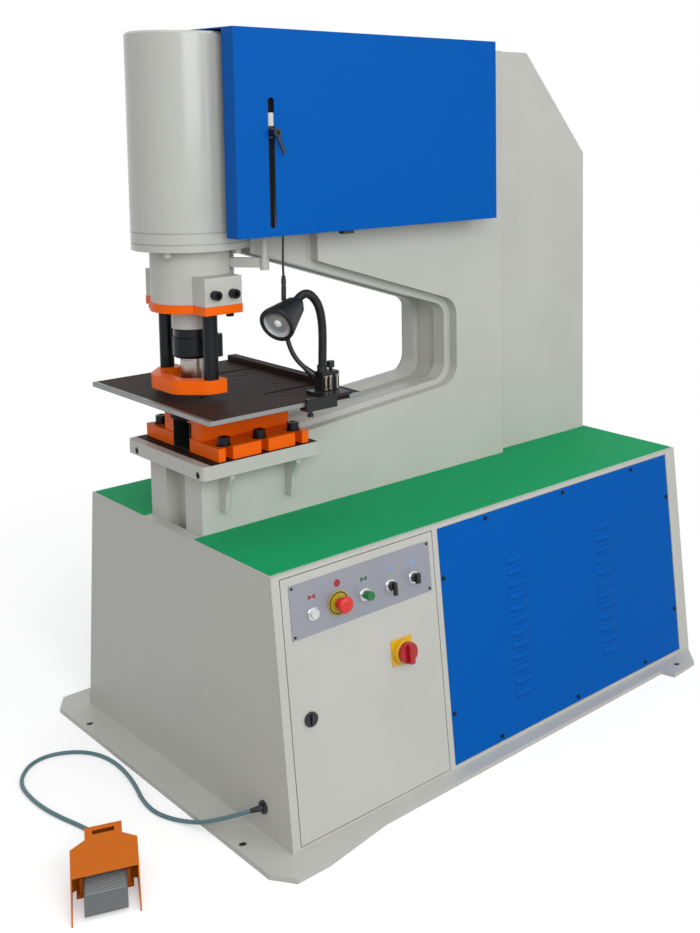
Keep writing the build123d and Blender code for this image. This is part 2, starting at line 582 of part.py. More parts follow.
# Lamp head: a tapered shade with a recessed lens
HEAD_AXIS = Vector(-95.8, -40.4, -45.5).normalized()
HEAD_BACK = Vector(157, LAMP_Y + 3, 1231)
head_plane = Plane(origin=HEAD_BACK, z_dir=HEAD_AXIS)
SHADE_R = 46.5
shade = Pos(0, 0, 10) * Cone(13, 26, 20) + Pos(0, 0, 60) * Cone(26, SHADE_R, 80)
shade += Pos(0, 0, 104) * Cylinder(SHADE_R, 8)
shade -= Pos(0, 0, 66) * Cone(22, SHADE_R - 4, 86)
shade += Pos(0, 0, 98) * Cylinder(SHADE_R - 5, 5)
socket = sweep(Plane(origin=neck_points[0], z_dir=neck_path % 0) * Circle(10 + SEAT), path=neck_path)
save(head_plane * shade - socket, "lamp_head")


def route(points, radii):
    return FilletPolyline(*points, radius=radii)


def bend_radii(points, share=0.45, cap=400.0):
    """Bend radius at each inner point: share of the shorter run over tan of half the turn."""
    out = []
    for a, b, c in zip(points, points[1:], points[2:]):
        u = (Vector(*b) - Vector(*a))
        v = (Vector(*c) - Vector(*b))
        half = math.radians(u.get_angle(v)) / 2
        out.append(min(cap, share * min(u.length, v.length) / math.tan(max(half, 1e-4))))
    return out


def cord(points, radius, name):
    radii = bend_radii(points)
    path = route(points, radii)
    tube = sweep(Plane(origin=points[0], z_dir=path % 0) * Circle(radius), path=path)
    length = path.length
    print(name, "length", round(length, 1), "volume ratio",
          round(tube.volume / (math.pi * radius ** 2 * length), 4))
    print("  radii", [round(r, 1) for r in radii])
    save(tube, name)


# Lamp cord from the cover's underside, behind the head, to the lamp's base block
LAMP_CORD = [(143, -200, 1418), (139, -200, 1340), (141, -200, 1280), (139, -200, 1220), (141, -200, 1165),
             (150, -202, 1117), (165, -208, 1080), (185, -220, 1054), (205.3, -234.7, 1031.9)]
cord(LAMP_CORD, 3.0, "lamp_cord")

# Pedal: local axes run forward to the open front and across
PEDAL = Vector(-480, -433, 0)
PEDAL_TURN = -113.6
CHEEK_HALF = 70.0
PEDAL_AT = Pos(PEDAL.X, PEDAL.Y, 0) * Rot(0, 0, PEDAL_TURN)


def pedal_prism(points, half):
    plane = Plane(origin=(0, half, 0), x_dir=(1, 0, 0), z_dir=(0, -1, 0))
    return extrude(plane * face(points), amount=2 * half)


def pedal_plan(inset):
    neck, cheek = 39 - inset, CHEEK_HALF - inset
    return [(-190 + inset, -neck), (-140, -neck), (-125 + inset, -cheek), (0, -cheek),
            (0, cheek), (-125 + inset, cheek), (-140, neck), (-190 + inset, neck)]


# Pedal guard: a folded hood with side cheeks that run forward
guard = flat_plate(pedal_plan(0), 0, 140)
guard &= pedal_prism([(-190, 0), (-190, 96), (-165, 118), (-70, 68), (0, 8), (0, 0)], 80)
hollow = flat_plate(pedal_plan(3), -1, 150)
hollow += block(-3, 5, -CHEEK_HALF + 3, CHEEK_HALF - 3, -1, 150)
hollow &= pedal_prism([(-187, -1), (-187, 94.5), (-164.5, 114.8), (-68, 63.6), (-68, 150), (5, 150), (5, -1)], 80)
guard -= hollow
guard -= Pos(-152, 0, 112) * Rot(0, 28, 0) * Box(10, 46, 30)
guard -= along_x(0, 29.8, -195, -180, 4.85)
save(PEDAL_AT * guard, "pedal_guard")

# Pedal base with the treadle's ears and pin
pbase = flat_plate([
    (-186.7, -35.5), (-138.8, -35.5), (-123, -59), (-94, -59), (-94, -40), (-62, -40),
    (-62, 40), (-94, 40), (-94, 59), (-123, 59), (-138.8, 35.5), (-186.7, 35.5)], 0, 8)
for side in (-1, 1):
    y0 = min(side * 44.4, side * 52.4)
    y1 = max(side * 44.4, side * 52.4)
    pbase += block(-122, -98, y0, y1, 7, 42)
pbase += along_y(-110, 31, -52, 52, 4)
save(PEDAL_AT * pbase, "pedal_base")

# Treadle with its ribbed tread
treadle = pedal_prism([
    (-118, 24), (-118, 44), (-104, 46), (-30, 42), (-14, 38), (-10, 9), (-52, 9), (-66, 22), (-100, 22)], 44)
for x in range(-92, -32, 6):
    z = 46 - (x + 104) * 4 / 74
    treadle += block(x - 1.2, x + 1.2, -41, 41, z - 3, z + 1.2)
treadle -= along_y(-110, 31, -45, 45, 4.05)
save(PEDAL_AT * treadle, "treadle")

# Rubber grommet in the front wall
gland = along_x(-427, 78, CAB_FRONT - 4, CAB_FRONT + 4, 10)
gland += along_x(-427, 78, CAB_FRONT - 4.5, CAB_FRONT - SEAT, 16)
gland -= along_x(-427, 78, CAB_FRONT - 8, CAB_FRONT + 6, 8.6)
save(gland, "cable_gland")

# Pedal cable: from the outlet over the flange, round a loop on the floor and into the hood's back
TAIL = (PEDAL_AT * Pos(-186, 0, 30)).position
TAIL_A = (PEDAL_AT * Pos(-232, 0, 27)).position
R_CABLE = 4.5
PEDAL_CORD = [(-62, -445, 81), (-106, -420, 76), (-137, -388, 62), (-164, -343, 42), (-183, -291, 20),
              (-196, -240, 8), (-210, -205, 5), (-226, -150, 5), (-222, -80, 5), (-203, -5, 5), (-191, 70, 5),
              (-189, 150, 5), (-204, 218, 5), (-238, 268, 5), (-292, 300, 5), (-344, 292, 5), (-383, 250, 5),
              (-403, 205, 5), (-409, 148, 5), (-407, 75, 5), (-394, 0, 5), (-375, -72, 5), (-366, -132, 7),
              (-371, -180, 16), (TAIL_A.X, TAIL_A.Y, TAIL_A.Z), (TAIL.X, TAIL.Y, TAIL.Z)]
cord(PEDAL_CORD, R_CABLE, "pedal_cord")

# Oil tank along the far side
tank = block(240, 1300, 150, 400, BASE_T, 430) - block(243, 1297, 153, 397, BASE_T + 3, 427)
tank -= upright(400, 275, 420, 440, 30)
save(tank, "oil_tank")

# Motor with its bell housing and pump, on feet behind the louvred panel
motor = along_x(-300, 180, 860, 1180, 100) + along_x(-300, 180, 1180, 1210, 85)
motor += along_x(-300, 180, 740, 861, 80) + block(600, 741, -345, -255, 130, 230)
motor += block(900, 1140, -390, -210, BASE_T, 110) + block(940, 1060, -345, -255, 270, 320)
motor -= block(930, 1110, -391, -209, BASE_T + 10, 80)
save(motor, "motor_pump")

# Valve block on the frame's near doubler under the cover
valve = block(340, 560, -200, -DOUBLER_OUT - SEAT, 1520, 1620)
valve += block(370, 420, -215, -199, 1540, 1600) + block(470, 520, -215, -199, 1540, 1600)
valve += upright(395, -165, 1619, 1690, 24) + upright(495, -165, 1619, 1690, 24)
save(valve, "valve_block")

# Electrical mounting plate with its switchgear, standing behind the door
epl = block(-60, 370, -372, -369, BASE_T, 600)
epl += block(-60, 370, -369, -330, BASE_T, BASE_T + 3)
for z, depth in [(470, 45), (340, 60), (200, 50)]:
    for i in range(4):
        epl += block(-30 + i * 95, 40 + i * 95, -372 - depth, -371, z, z + 85)
save(epl, "switchgear_plate")
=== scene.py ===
import bmesh
import bpy
import math
from mathutils import Matrix, Vector


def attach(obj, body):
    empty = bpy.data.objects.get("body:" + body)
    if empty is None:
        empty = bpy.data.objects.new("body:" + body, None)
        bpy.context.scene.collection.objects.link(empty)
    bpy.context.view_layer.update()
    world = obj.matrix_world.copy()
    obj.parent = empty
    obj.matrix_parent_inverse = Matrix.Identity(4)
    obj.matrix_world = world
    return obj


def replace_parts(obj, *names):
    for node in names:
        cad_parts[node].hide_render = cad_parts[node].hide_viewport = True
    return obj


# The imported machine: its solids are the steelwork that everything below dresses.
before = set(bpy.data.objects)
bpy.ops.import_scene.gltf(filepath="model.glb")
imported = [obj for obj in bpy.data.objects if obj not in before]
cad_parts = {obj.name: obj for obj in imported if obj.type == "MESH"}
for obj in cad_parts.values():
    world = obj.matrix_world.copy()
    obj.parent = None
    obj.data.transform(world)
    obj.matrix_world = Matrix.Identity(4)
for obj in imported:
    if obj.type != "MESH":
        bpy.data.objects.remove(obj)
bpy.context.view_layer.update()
MM = 0.001

# Camera: a tripod at about eye height, off the machine's front left corner.
# Its place and lens were found from the photograph's straight edges.
PHOTO_W, PHOTO_H = 700, 933
LENS_PX = 1186.0
AXIS_PX = (566.0, 230.0)
SENSOR_MM = 36.0
camera_data = bpy.data.cameras.new("photo_camera")
camera_data.sensor_fit = "AUTO"
camera_data.sensor_width = SENSOR_MM
camera_data.lens = LENS_PX / PHOTO_H * SENSOR_MM
camera_data.shift_x = (PHOTO_W / 2 - AXIS_PX[0]) / PHOTO_H
camera_data.shift_y = (AXIS_PX[1] - PHOTO_H / 2) / PHOTO_H
camera = bpy.data.objects.new("photo_camera", camera_data)
bpy.context.scene.collection.objects.link(camera)
PITCH = math.radians(5.54)
HEADING = Vector((0.7240, 0.6898, 0.0))
TRIPOD_TOP = Vector((-1520.3, -2769.5, 1700.0))
look = HEADING.normalized() * math.cos(PITCH) + Vector((0, 0, -math.sin(PITCH)))
camera.location = TRIPOD_TOP * MM
camera.rotation_euler = look.to_track_quat("-Z", "Y").to_euler()
bpy.context.scene.camera = camera


# Studio: a pale sweep of paper under the machine and a white room round it.
# A large soft box stands at the front left, a weaker one at the right and a small one overhead.
# The paper reads white to the camera and keeps the machine's soft shadow.
def linear(colour):
    """sRGB hex to the linear RGBA that the shaders take."""
    parts = [int(colour[i:i + 2], 16) / 255 for i in (1, 3, 5)]
    return tuple(c / 12.92 if c <= 0.04045 else ((c + 0.055) / 1.055) ** 2.4 for c in parts) + (1.0,)


def add_node(tree, kind, settings=None, links=None):
    """Adds one node, with its settings (by property or socket) and its incoming links."""
    node = tree.nodes.new(kind)
    for key, value in (settings or {}).items():
        if isinstance(key, int):
            node.inputs[key].default_value = value
        elif hasattr(node, key):
            setattr(node, key, value)
        else:
            node.inputs[key].default_value = value
    for key, source in (links or {}).items():
        tree.links.new(source, node.inputs[key])
    return node


def new_material(name):
    """An empty finish: its material, its node tree and its one shader."""
    material = bpy.data.materials.new(name)
    material.use_nodes = True
    tree = material.node_tree
    tree.nodes.clear()
    shader = add_node(tree, "ShaderNodeBsdfPrincipled")
    add_node(tree, "ShaderNodeOutputMaterial", links={"Surface": shader.outputs["BSDF"]})
    return material, tree, shader


paper, tree, shader = new_material("Pale_studio_paper")
shader.inputs["Base Color"].default_value = linear("#ACACAA")
shader.inputs["Roughness"].default_value = 0.9
shader.inputs["Specular IOR Level"].default_value = 0.1


def seen_directly(tree):
    """1 where a ray comes from the camera, a mirror or a lens, and 0 for scattered light."""
    path = add_node(tree, "ShaderNodeLightPath")
    first = add_node(tree, "ShaderNodeMath", {"operation": "MAXIMUM"},
                     {0: path.outputs["Is Camera Ray"], 1: path.outputs["Is Glossy Ray"]})
    return add_node(tree, "ShaderNodeMath", {"operation": "MAXIMUM"},
                    {0: first.outputs[0], 1: path.outputs["Is Transmission Ray"]})


bright_paper = add_node(tree, "ShaderNodeBsdfDiffuse", {"Color": linear("#FAFAFA")})
glow = add_node(tree, "ShaderNodeEmission", {"Color": (1, 1, 1, 1), "Strength": 0.30})
lit = add_node(tree, "ShaderNodeAddShader", None, {0: bright_paper.outputs[0], 1: glow.outputs[0]})
far_glow = add_node(tree, "ShaderNodeEmission", {"Color": (1, 1, 1, 1), "Strength": 1.0})
place = add_node(tree, "ShaderNodeTexCoord")
centred = add_node(tree, "ShaderNodeVectorMath", {"operation": "DISTANCE", 1: (0.5, 0.0, 0.0)},
                   {0: place.outputs["Object"]})

# The paper turns to plain white between these two distances from the machine, in metres.
FADE_START, FADE_END = 0.9, 2.6
fade = add_node(tree, "ShaderNodeMapRange", {"From Min": FADE_START, "From Max": FADE_END},
                {"Value": centred.outputs["Value"]})
swept = add_node(tree, "ShaderNodeMixShader", None,
                 {0: fade.outputs[0], 1: lit.outputs[0], 2: far_glow.outputs[0]})
blend = add_node(tree, "ShaderNodeMixShader", None,
                 {0: seen_directly(tree).outputs[0], 1: shader.outputs[0], 2: swept.outputs[0]})
tree.links.new(blend.outputs[0], tree.nodes["Material Output"].inputs["Surface"])
FLOOR_LOW, FLOOR_HIGH = -14, 16
FLOOR = [(FLOOR_LOW, FLOOR_LOW, 0), (FLOOR_HIGH, FLOOR_LOW, 0), (FLOOR_HIGH, FLOOR_HIGH, 0),
         (FLOOR_LOW, FLOOR_HIGH, 0)]
floor_mesh = bpy.data.meshes.new("studio_floor")
floor_mesh.from_pydata(FLOOR, [], [(0, 1, 2, 3)])
floor_mesh.materials.append(paper)
floor = bpy.data.objects.new("studio_floor", floor_mesh)
bpy.context.scene.collection.objects.link(floor)

world = bpy.data.worlds.new("white_room")
bpy.context.scene.world = world
world.use_nodes = True
tree = world.node_tree
tree.nodes.clear()
room = add_node(tree, "ShaderNodeBackground", {"Color": linear("#F6F7F8"), "Strength": 0.60})
white = add_node(tree, "ShaderNodeBackground", {"Color": (1, 1, 1, 1), "Strength": 1.0})
blend = add_node(tree, "ShaderNodeMixShader", None,
                 {0: seen_directly(tree).outputs[0], 1: room.outputs[0], 2: white.outputs[0]})
add_node(tree, "ShaderNodeOutputWorld", None, {"Surface": blend.outputs[0]})

# Each soft box by its place and size in metres and its power in watts.
SOFT_BOXES = {"front_box": ((-1.5, -4.3, 2.8), 2.6, 102), "right_box": ((1.5, -4.2, 2.4), 2.4, 34),
              "top_box": ((0.4, -0.2, 4.4), 2.6, 18)}
BOX_AIM = Vector((0.1, -0.1, 1.1))
for name, (place, size, power) in SOFT_BOXES.items():
    light = bpy.data.lights.new(name, "AREA")
    light.energy = power
    light.size = size
    box = bpy.data.objects.new(name, light)
    bpy.context.scene.collection.objects.link(box)
    box.location = place
    box.rotation_euler = (BOX_AIM - Vector(place)).to_track_quat("-Z", "Y").to_euler()
bpy.context.scene.view_settings.view_transform = "Standard"


# Pedal cable and lamp lead: round flexible cables, extruded PVC over stranded copper.
# The pedal's runs from a grommet in the cabinet's front wall, in one loose loop on the floor.
# The lamp's hangs from the upper cover's underside behind the lamp's head, to its base.
def cable_jacket(name, colour, roughness):
    """Extruded PVC: an even colour, a soft gloss and faint dirt in patches of about 26 mm."""
    material, tree, shader = new_material(name)
    place = add_node(tree, "ShaderNodeTexCoord")
    dirt = add_node(tree, "ShaderNodeTexNoise", {"Scale": 38.0, "Detail": 3.0}, {"Vector": place.outputs["Object"]})
    tint = add_node(tree, "ShaderNodeMix", {"data_type": "RGBA", 6: linear(colour), 7: linear("#4A4F50")})
    share = add_node(tree, "ShaderNodeMapRange", {"From Min": 0.5, "From Max": 1.0, "To Max": 0.45},
                     {"Value": dirt.outputs["Fac"]})
    tree.links.new(share.outputs[0], tint.inputs[0])
    tree.links.new(tint.outputs[2], shader.inputs["Base Color"])
    shader.inputs["Roughness"].default_value = roughness
    return material


def cable(name, route, radius, material):
    """A cable along the route's points, in millimetres, as one smooth NURBS spline.

    The bevel is one metre and each point's radius scales it, so the curve's box is its own."""
    curve = bpy.data.curves.new(name, "CURVE")
    curve.dimensions = "3D"
    curve.bevel_depth = 1.0
    curve.bevel_resolution = 4
    curve.use_fill_caps = True
    spline = curve.splines.new("NURBS")
    spline.points.add(len(route) - 1)
    for point, (x, y, z) in zip(spline.points, route):
        point.co = (x * MM, y * MM, z * MM, 1.0)
        point.radius = radius * MM
    spline.order_u = 3
    spline.use_endpoint_u = True
    spline.resolution_u = 12
    curve.materials.append(material)
    obj = bpy.data.objects.new(name, curve)
    bpy.context.scene.collection.objects.link(obj)
    return obj


def centreline(obj):
    """The points of a cable's own smooth line."""
    depth = obj.data.bevel_depth
    obj.data.bevel_depth = 0.0
    bpy.context.view_layer.update()
    line = bpy.data.meshes.new_from_object(obj.evaluated_get(bpy.context.evaluated_depsgraph_get()))
    points = [v.co.copy() for v in line.vertices]
    obj.data.bevel_depth = depth
    return points


def line_length(points):
    """The length along a line of points, in metres."""
    return sum((b - a).length for a, b in zip(points, points[1:]))


def sleeve_mesh(name, line, radii, around=20):
    """A closed tube round part of a cable's line, with its radius at each end in millimetres."""
    work = bmesh.new()
    rings = []
    total = line_length(line)
    gone = 0.0
    for i, point in enumerate(line):
        before, after = line[max(i - 1, 0)], line[min(i + 1, len(line) - 1)]
        turn = (after - before).to_track_quat("Z", "Y")
        gone += (point - before).length if i else 0.0
        radius = (radii[0] + (radii[1] - radii[0]) * gone / total) * MM
        rings.append([work.verts.new(point + turn @ Vector((radius * math.cos(t), radius * math.sin(t), 0)))
                      for t in [math.tau * k / around for k in range(around)]])
    for a, b in zip(rings, rings[1:]):
        for k in range(around):
            work.faces.new((a[k], a[(k + 1) % around], b[(k + 1) % around], b[k]))
    work.faces.new(list(reversed(rings[0])))
    work.faces.new(rings[-1])
    bmesh.ops.recalc_face_normals(work, faces=work.faces)
    mesh = bpy.data.meshes.new(name)
    work.to_mesh(mesh)
    work.free()
    for face in mesh.polygons:
        face.use_smooth = len(face.vertices) == 4
    return mesh


def add_sleeve(name, line, radii, material):
    """A moulded boot or shrunk sleeve that rides on the machine round a cable."""
    mesh = sleeve_mesh(name, line, radii)
    mesh.materials.append(material)
    obj = bpy.data.objects.new(name, mesh)
    bpy.context.scene.collection.objects.link(obj)
    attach(obj, "machine")
    return obj


def part_of_line(line, start_mm, end_mm):
    """The points of a line between two lengths along it."""
    out, gone = [], 0.0
    for before, point in zip([line[0]] + line, line):
        gone += (point - before).length / MM
        if start_mm <= gone <= end_mm:
            out.append(point)
    return out


PEDAL_AT = Vector((-480, -433, 0))
PEDAL_TURN = math.radians(-113.6)
pedal_frame = Matrix.Translation(PEDAL_AT) @ Matrix.Rotation(PEDAL_TURN, 4, "Z")
cable_end = [pedal_frame @ Vector((-232, 0, 27)), pedal_frame @ Vector((-186, 0, 30))]
PEDAL_CABLE_R, LAMP_LEAD_R = 5.0, 3.0
PEDAL_ROUTE = [(-62, -445, 81), (-106, -420, 76), (-137, -388, 62), (-164, -343, 42), (-183, -291, 20),
               (-196, -240, 8), (-210, -205, 5), (-226, -150, 5), (-222, -80, 5), (-203, -5, 5),
               (-191, 70, 5), (-189, 150, 5), (-204, 218, 5), (-238, 268, 5), (-292, 300, 5), (-344, 292, 5),
               (-383, 250, 5), (-403, 205, 5), (-409, 148, 5), (-407, 75, 5), (-394, 0, 5), (-375, -72, 5),
               (-366, -132, 7), (-371, -180, 16)] + [tuple(p) for p in cable_end]
pedal_jacket = cable_jacket("Blue_grey_PVC_extruded", "#54787F", 0.42)
pedal_cable = cable("pedal_cable", PEDAL_ROUTE, PEDAL_CABLE_R, pedal_jacket)
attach(pedal_cable, "machine")
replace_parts(pedal_cable, "pedal_cord")
pedal_line = centreline(pedal_cable)
cable_run = line_length(pedal_line) / MM
black_jacket = cable_jacket("Black_PVC_extruded", "#141516", 0.38)
BOOT_ROOT_R, BOOT_TIP_R = 8.2, 5.6
wall_boot = add_sleeve("cable_boot_wall", part_of_line(pedal_line, 34, 70),
                       (BOOT_ROOT_R, BOOT_TIP_R), black_jacket)
hood_boot = add_sleeve("cable_boot_hood", part_of_line(pedal_line, cable_run - 42, cable_run - 6),
                       (BOOT_TIP_R, BOOT_ROOT_R), black_jacket)

LAMP_ROUTE = [(143, -200, 1418), (139, -200, 1340), (141, -200, 1280), (139, -200, 1220), (141, -200, 1165),
              (150, -202, 1117), (165, -208, 1080), (185, -220, 1054), (205.3, -234.7, 1031.9)]
lamp_lead = cable("lamp_lead", LAMP_ROUTE, LAMP_LEAD_R, black_jacket)
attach(lamp_lead, "machine")
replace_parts(lamp_lead, "lamp_cord")
lead_line = centreline(lamp_lead)
lead_run = line_length(lead_line) / MM
shrink_sleeve = add_sleeve("lamp_lead_sleeve", part_of_line(lead_line, 122, lead_run - 30),
                           (6.2, 6.0), black_jacket)
base_boot = add_sleeve("cable_boot_lamp", part_of_line(lead_line, lead_run - 38, lead_run - 2),
                       (6.4, 10.0), black_jacket)


# C-frame, base plate and cabinet: flame-cut and folded mild steel, welded, filled and
# sprayed with a warm light grey enamel. The spray leaves a fine orange peel, and handling
# wears the corners and leaves a little grime low down.
def edge_mask(tree, radius_mm, sharp):
    """1 on the corners and 0 on the flats, from how far a rounded normal turns away."""
    rounded = add_node(tree, "ShaderNodeBevel", {"samples": 4, "Radius": radius_mm * MM})
    plain = add_node(tree, "ShaderNodeNewGeometry")
    facing = add_node(tree, "ShaderNodeVectorMath", {"operation": "DOT_PRODUCT"},
                      {0: rounded.outputs[0], 1: plain.outputs["Normal"]})
    return add_node(tree, "ShaderNodeMapRange", {"From Min": 0.995, "From Max": 0.86, "To Max": sharp},
                    {"Value": facing.outputs["Value"]})


def sprayed_enamel(name, colour, wear_and_highlight, roughness=0.38, edge=0.35, grime=0.25, peel_mm=2.2, specular=0.35):
    """Sprayed enamel over steel: clear gloss, orange peel, a second colour on the corners and faint grime.

    The corner colour is worn paint on some finishes and a painted highlight on others. The grime lies in patches of
    about 200 mm, and the corner colour comes in spots about 11 mm apart."""
    material, tree, shader = new_material(name)
    place = add_node(tree, "ShaderNodeTexCoord")
    cloud = add_node(tree, "ShaderNodeTexNoise", {"Scale": 5.0, "Detail": 5.0, "Roughness": 0.62},
                     {"Vector": place.outputs["Object"]})
    speck = add_node(tree, "ShaderNodeTexNoise", {"Scale": 90.0, "Detail": 4.0},
                     {"Vector": place.outputs["Object"]})
    shade = add_node(tree, "ShaderNodeMix", {"data_type": "RGBA", "blend_type": "MULTIPLY", 0: grime,
                                             6: linear(colour)})
    tone = add_node(tree, "ShaderNodeMapRange",
                    {"From Min": 0.35, "From Max": 0.65, "To Min": 0.84, "To Max": 1.06},
                    {"Value": cloud.outputs["Fac"]})
    tree.links.new(tone.outputs[0], shade.inputs[7])
    corner = edge_mask(tree, 2.0, edge)
    wear_and_highlight_spots = add_node(tree, "ShaderNodeMapRange", {"From Min": 0.45, "From Max": 0.62},
                    {"Value": speck.outputs["Fac"]})
    wear_and_highlight_mask = add_node(tree, "ShaderNodeMath", {"operation": "MULTIPLY"}, {0: corner.outputs[0], 1: wear_and_highlight_spots.outputs[0]})
    base = add_node(tree, "ShaderNodeMix", {"data_type": "RGBA", 7: linear(wear_and_highlight)},
                    {0: wear_and_highlight_mask.outputs[0], 6: shade.outputs[2]})
    tree.links.new(base.outputs[2], shader.inputs["Base Color"])
    shader.inputs["Specular IOR Level"].default_value = specular
    gloss = add_node(tree, "ShaderNodeMapRange", {"From Min": 0.3, "From Max": 0.7, "To Min": roughness - 0.05,
                                                  "To Max": roughness + 0.09}, {"Value": cloud.outputs["Fac"]})
    tree.links.new(gloss.outputs[0], shader.inputs["Roughness"])
    peel = add_node(tree, "ShaderNodeTexNoise", {"Scale": 1.0 / (peel_mm * MM) / 2, "Detail": 1.0},
                    {"Vector": place.outputs["Object"]})
    soft = add_node(tree, "ShaderNodeBevel", {"samples": 4, "Radius": 1.5 * MM})
    bump = add_node(tree, "ShaderNodeBump", {"Strength": 0.09, "Distance": 0.4 * MM},
                    {"Height": peel.outputs["Fac"], "Normal": soft.outputs[0]})
    tree.links.new(bump.outputs[0], shader.inputs["Normal"])
    return material


def dress(nodes, material):
    """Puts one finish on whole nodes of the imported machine."""
    for name in nodes:
        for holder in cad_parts[name].material_slots:
            holder.material = material


grey_enamel = sprayed_enamel("Grey_enamel_sprayed_steel", "#C2C2BC", "#8C8C86")
dress(["frame_plate_near", "frame_plate_far", "frame_doubler_near", "frame_doubler_far", "throat_liner",
       "frame_spine", "jaw_front_plate", "cabinet_front_wall", "cabinet_rear_wall", "cabinet_side_near",
       "cabinet_side_far", "cabinet_top", "door", "base_plate", "guide_housing", "flange_bolts", "stroke_arm",
       "piston_rod"], grey_enamel)

# The cylinder's barrel is turned before it is sprayed, so its enamel is smoother and glossier.
gloss_enamel = sprayed_enamel("Grey_gloss_enamel_turned_steel", "#BFC0BA", "#8C8C86",
                              roughness=0.2, edge=0.2, grime=0.1, peel_mm=6.0, specular=0.5)
dress(["cylinder_barrel"], gloss_enamel)


# Weld beads: a run of filler where each doubler plate meets the main side plate.
# The bead is ground lightly and painted over, so it shows as a soft rippled line.
def add_piece(name, mesh, body, material=None):
    """Links a finished mesh as one piece of the machine, riding on a body."""
    obj = bpy.data.objects.new(name, mesh)
    bpy.context.scene.collection.objects.link(obj)
    if material is not None:
        mesh.materials.clear()
        mesh.materials.append(material)
    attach(obj, body)
    return obj


def bead_mesh(name, corners, radius_mm, step_mm=7.0, around=6):
    """A rippled half-buried rope of weld along a chain of corners, in millimetres."""
    mesh = bpy.data.meshes.new(name)
    work = bmesh.new()
    for a, b in zip(corners, corners[1:]):
        a, b = Vector(a), Vector(b)
        run = (b - a).length
        steps = max(2, int(run / step_mm) * 2)
        along = (b - a).normalized()
        side = along.orthogonal().normalized()
        up = along.cross(side)
        rings = []
        for i in range(steps + 1):
            middle = a + (b - a) * i / steps
            swell = radius_mm * (1.0 if i % 2 else 0.8)
            rings.append([work.verts.new((middle + (side * math.cos(t) + up * math.sin(t)) * swell) * MM)
                          for t in [math.tau * k / around for k in range(around)]])
        for lower, upper in zip(rings, rings[1:]):
            for k in range(around):
                k2 = (k + 1) % around
                work.faces.new((lower[k], lower[k2], upper[k2], upper[k]))
        work.faces.new(list(reversed(rings[0])))
        work.faces.new(rings[-1])
    bmesh.ops.recalc_face_normals(work, faces=work.faces)
    work.to_mesh(mesh)
    work.free()
    for face in mesh.polygons:
        face.use_smooth = True
    return mesh


PLATE_Y = 98.0
BEAD_X, BEAD_LOW, BEAD_HIGH, BEAD_R = 966, 652, 1892, 4.0
for name, y in (("weld_near", -PLATE_Y), ("weld_far", PLATE_Y)):
    runs = bead_mesh(name, [(BEAD_X, y, BEAD_LOW), (BEAD_X, y, BEAD_HIGH)], BEAD_R)
    add_piece(name, runs, "machine", grey_enamel)


# Floor anchors' holes: short black sleeves in the feet's holes, as painted shade for the dark inside of each hole.
# Each stands in its hole, below the base plate's top, and is open in the real machine.
def plain_finish(name, colour, roughness, metallic=0.0):
    """A finish of one even colour, too small or too dark to show a pattern."""
    material, tree, shader = new_material(name)
    shader.inputs["Base Color"].default_value = linear(colour)
    shader.inputs["Roughness"].default_value = roughness
    shader.inputs["Metallic"].default_value = metallic
    return material


# Painted shade: the near-black finish of the sleeves in the anchor holes.
anchor_hole_shade = plain_finish("Painted_shade_in_foot_holes", "#161616", 0.8)


def turned_mesh(name, profile, place, around=48, smooth=True):
    """A turned solid: profile of (radius, height) in millimetres, spun about local Z."""
    work = bmesh.new()
    rings = []
    for radius, height in profile:
        if radius < 1e-6:
            rings.append([work.verts.new(Vector((0, 0, height)) * MM)])
        else:
            rings.append([work.verts.new(Vector((radius * math.cos(t), radius * math.sin(t), height)) * MM)
                          for t in [math.tau * k / around for k in range(around)]])
    for a, b in zip(rings, rings[1:]):
        for k in range(around):
            k2 = (k + 1) % around
            corners = [a[k % len(a)], a[k2 % len(a)], b[k2 % len(b)], b[k % len(b)]]
            unique = list(dict.fromkeys(corners))
            if len(unique) >= 3:
                work.faces.new(unique)
    bmesh.ops.recalc_face_normals(work, faces=work.faces)
    mesh = bpy.data.meshes.new(name)
    work.to_mesh(mesh)
    work.free()
    mesh.transform(place)
    if smooth:
        for face in mesh.polygons:
            face.use_smooth = True
        mesh.set_sharp_from_angle(angle=math.radians(32))
    return mesh


ANCHORS = {"front_near": (-150, -425), "front_far": (-150, 369),
           "rear_near": (1262, -590), "rear_far": (1262, 534)}
ANCHOR_R, ANCHOR_LOW, ANCHOR_HIGH = 7.8, 0.4, 10.5
ANCHOR = [(0, ANCHOR_LOW), (ANCHOR_R, ANCHOR_LOW), (ANCHOR_R, ANCHOR_HIGH), (0, ANCHOR_HIGH)]
for name, (x, y) in ANCHORS.items():
    hole_shade_mesh = turned_mesh(f"anchor_{name}", ANCHOR, Matrix.Translation(Vector((x, y, 0)) * MM), 24)
    add_piece(f"anchor_{name}", hole_shade_mesh, "machine", anchor_hole_shade)


# Upper cover: a folded sheet-steel saddle over the cylinder's valve gear, powder coated blue.
# The stroke dog's carrier slides in its long slot, and a near-black sheet behind the slot is painted shade for the
# dark inside of the cover.
# The lighter blue on the corners is a painted highlight, for the light caught along the cover's rounded edges.
blue_coat = sprayed_enamel("Blue_powder_coat_steel", "#005AB2", "#5C96CC",
                           roughness=0.42, edge=0.4, grime=0.1, specular=0.06)
dress(["upper_cover", "motor_pump"], blue_coat)
COVER_Y = -233.0


def plate_mesh(name, x0, x1, y0, y1, z0, z1, soft_mm=0.0):
    """A block in millimetres with its edges rounded by soft_mm."""
    work = bmesh.new()
    bmesh.ops.create_cube(work, size=1.0)
    for v in work.verts:
        v.co = Vector(((x0 + x1) / 2 + v.co.x * (x1 - x0), (y0 + y1) / 2 + v.co.y * (y1 - y0),
                       (z0 + z1) / 2 + v.co.z * (z1 - z0))) * MM
    if soft_mm:
        bmesh.ops.bevel(work, geom=list(work.edges), offset=soft_mm * MM, segments=3, profile=0.5,
                        affect="EDGES", clamp_overlap=True)
    mesh = bpy.data.meshes.new(name)
    work.to_mesh(mesh)
    work.free()
    return mesh


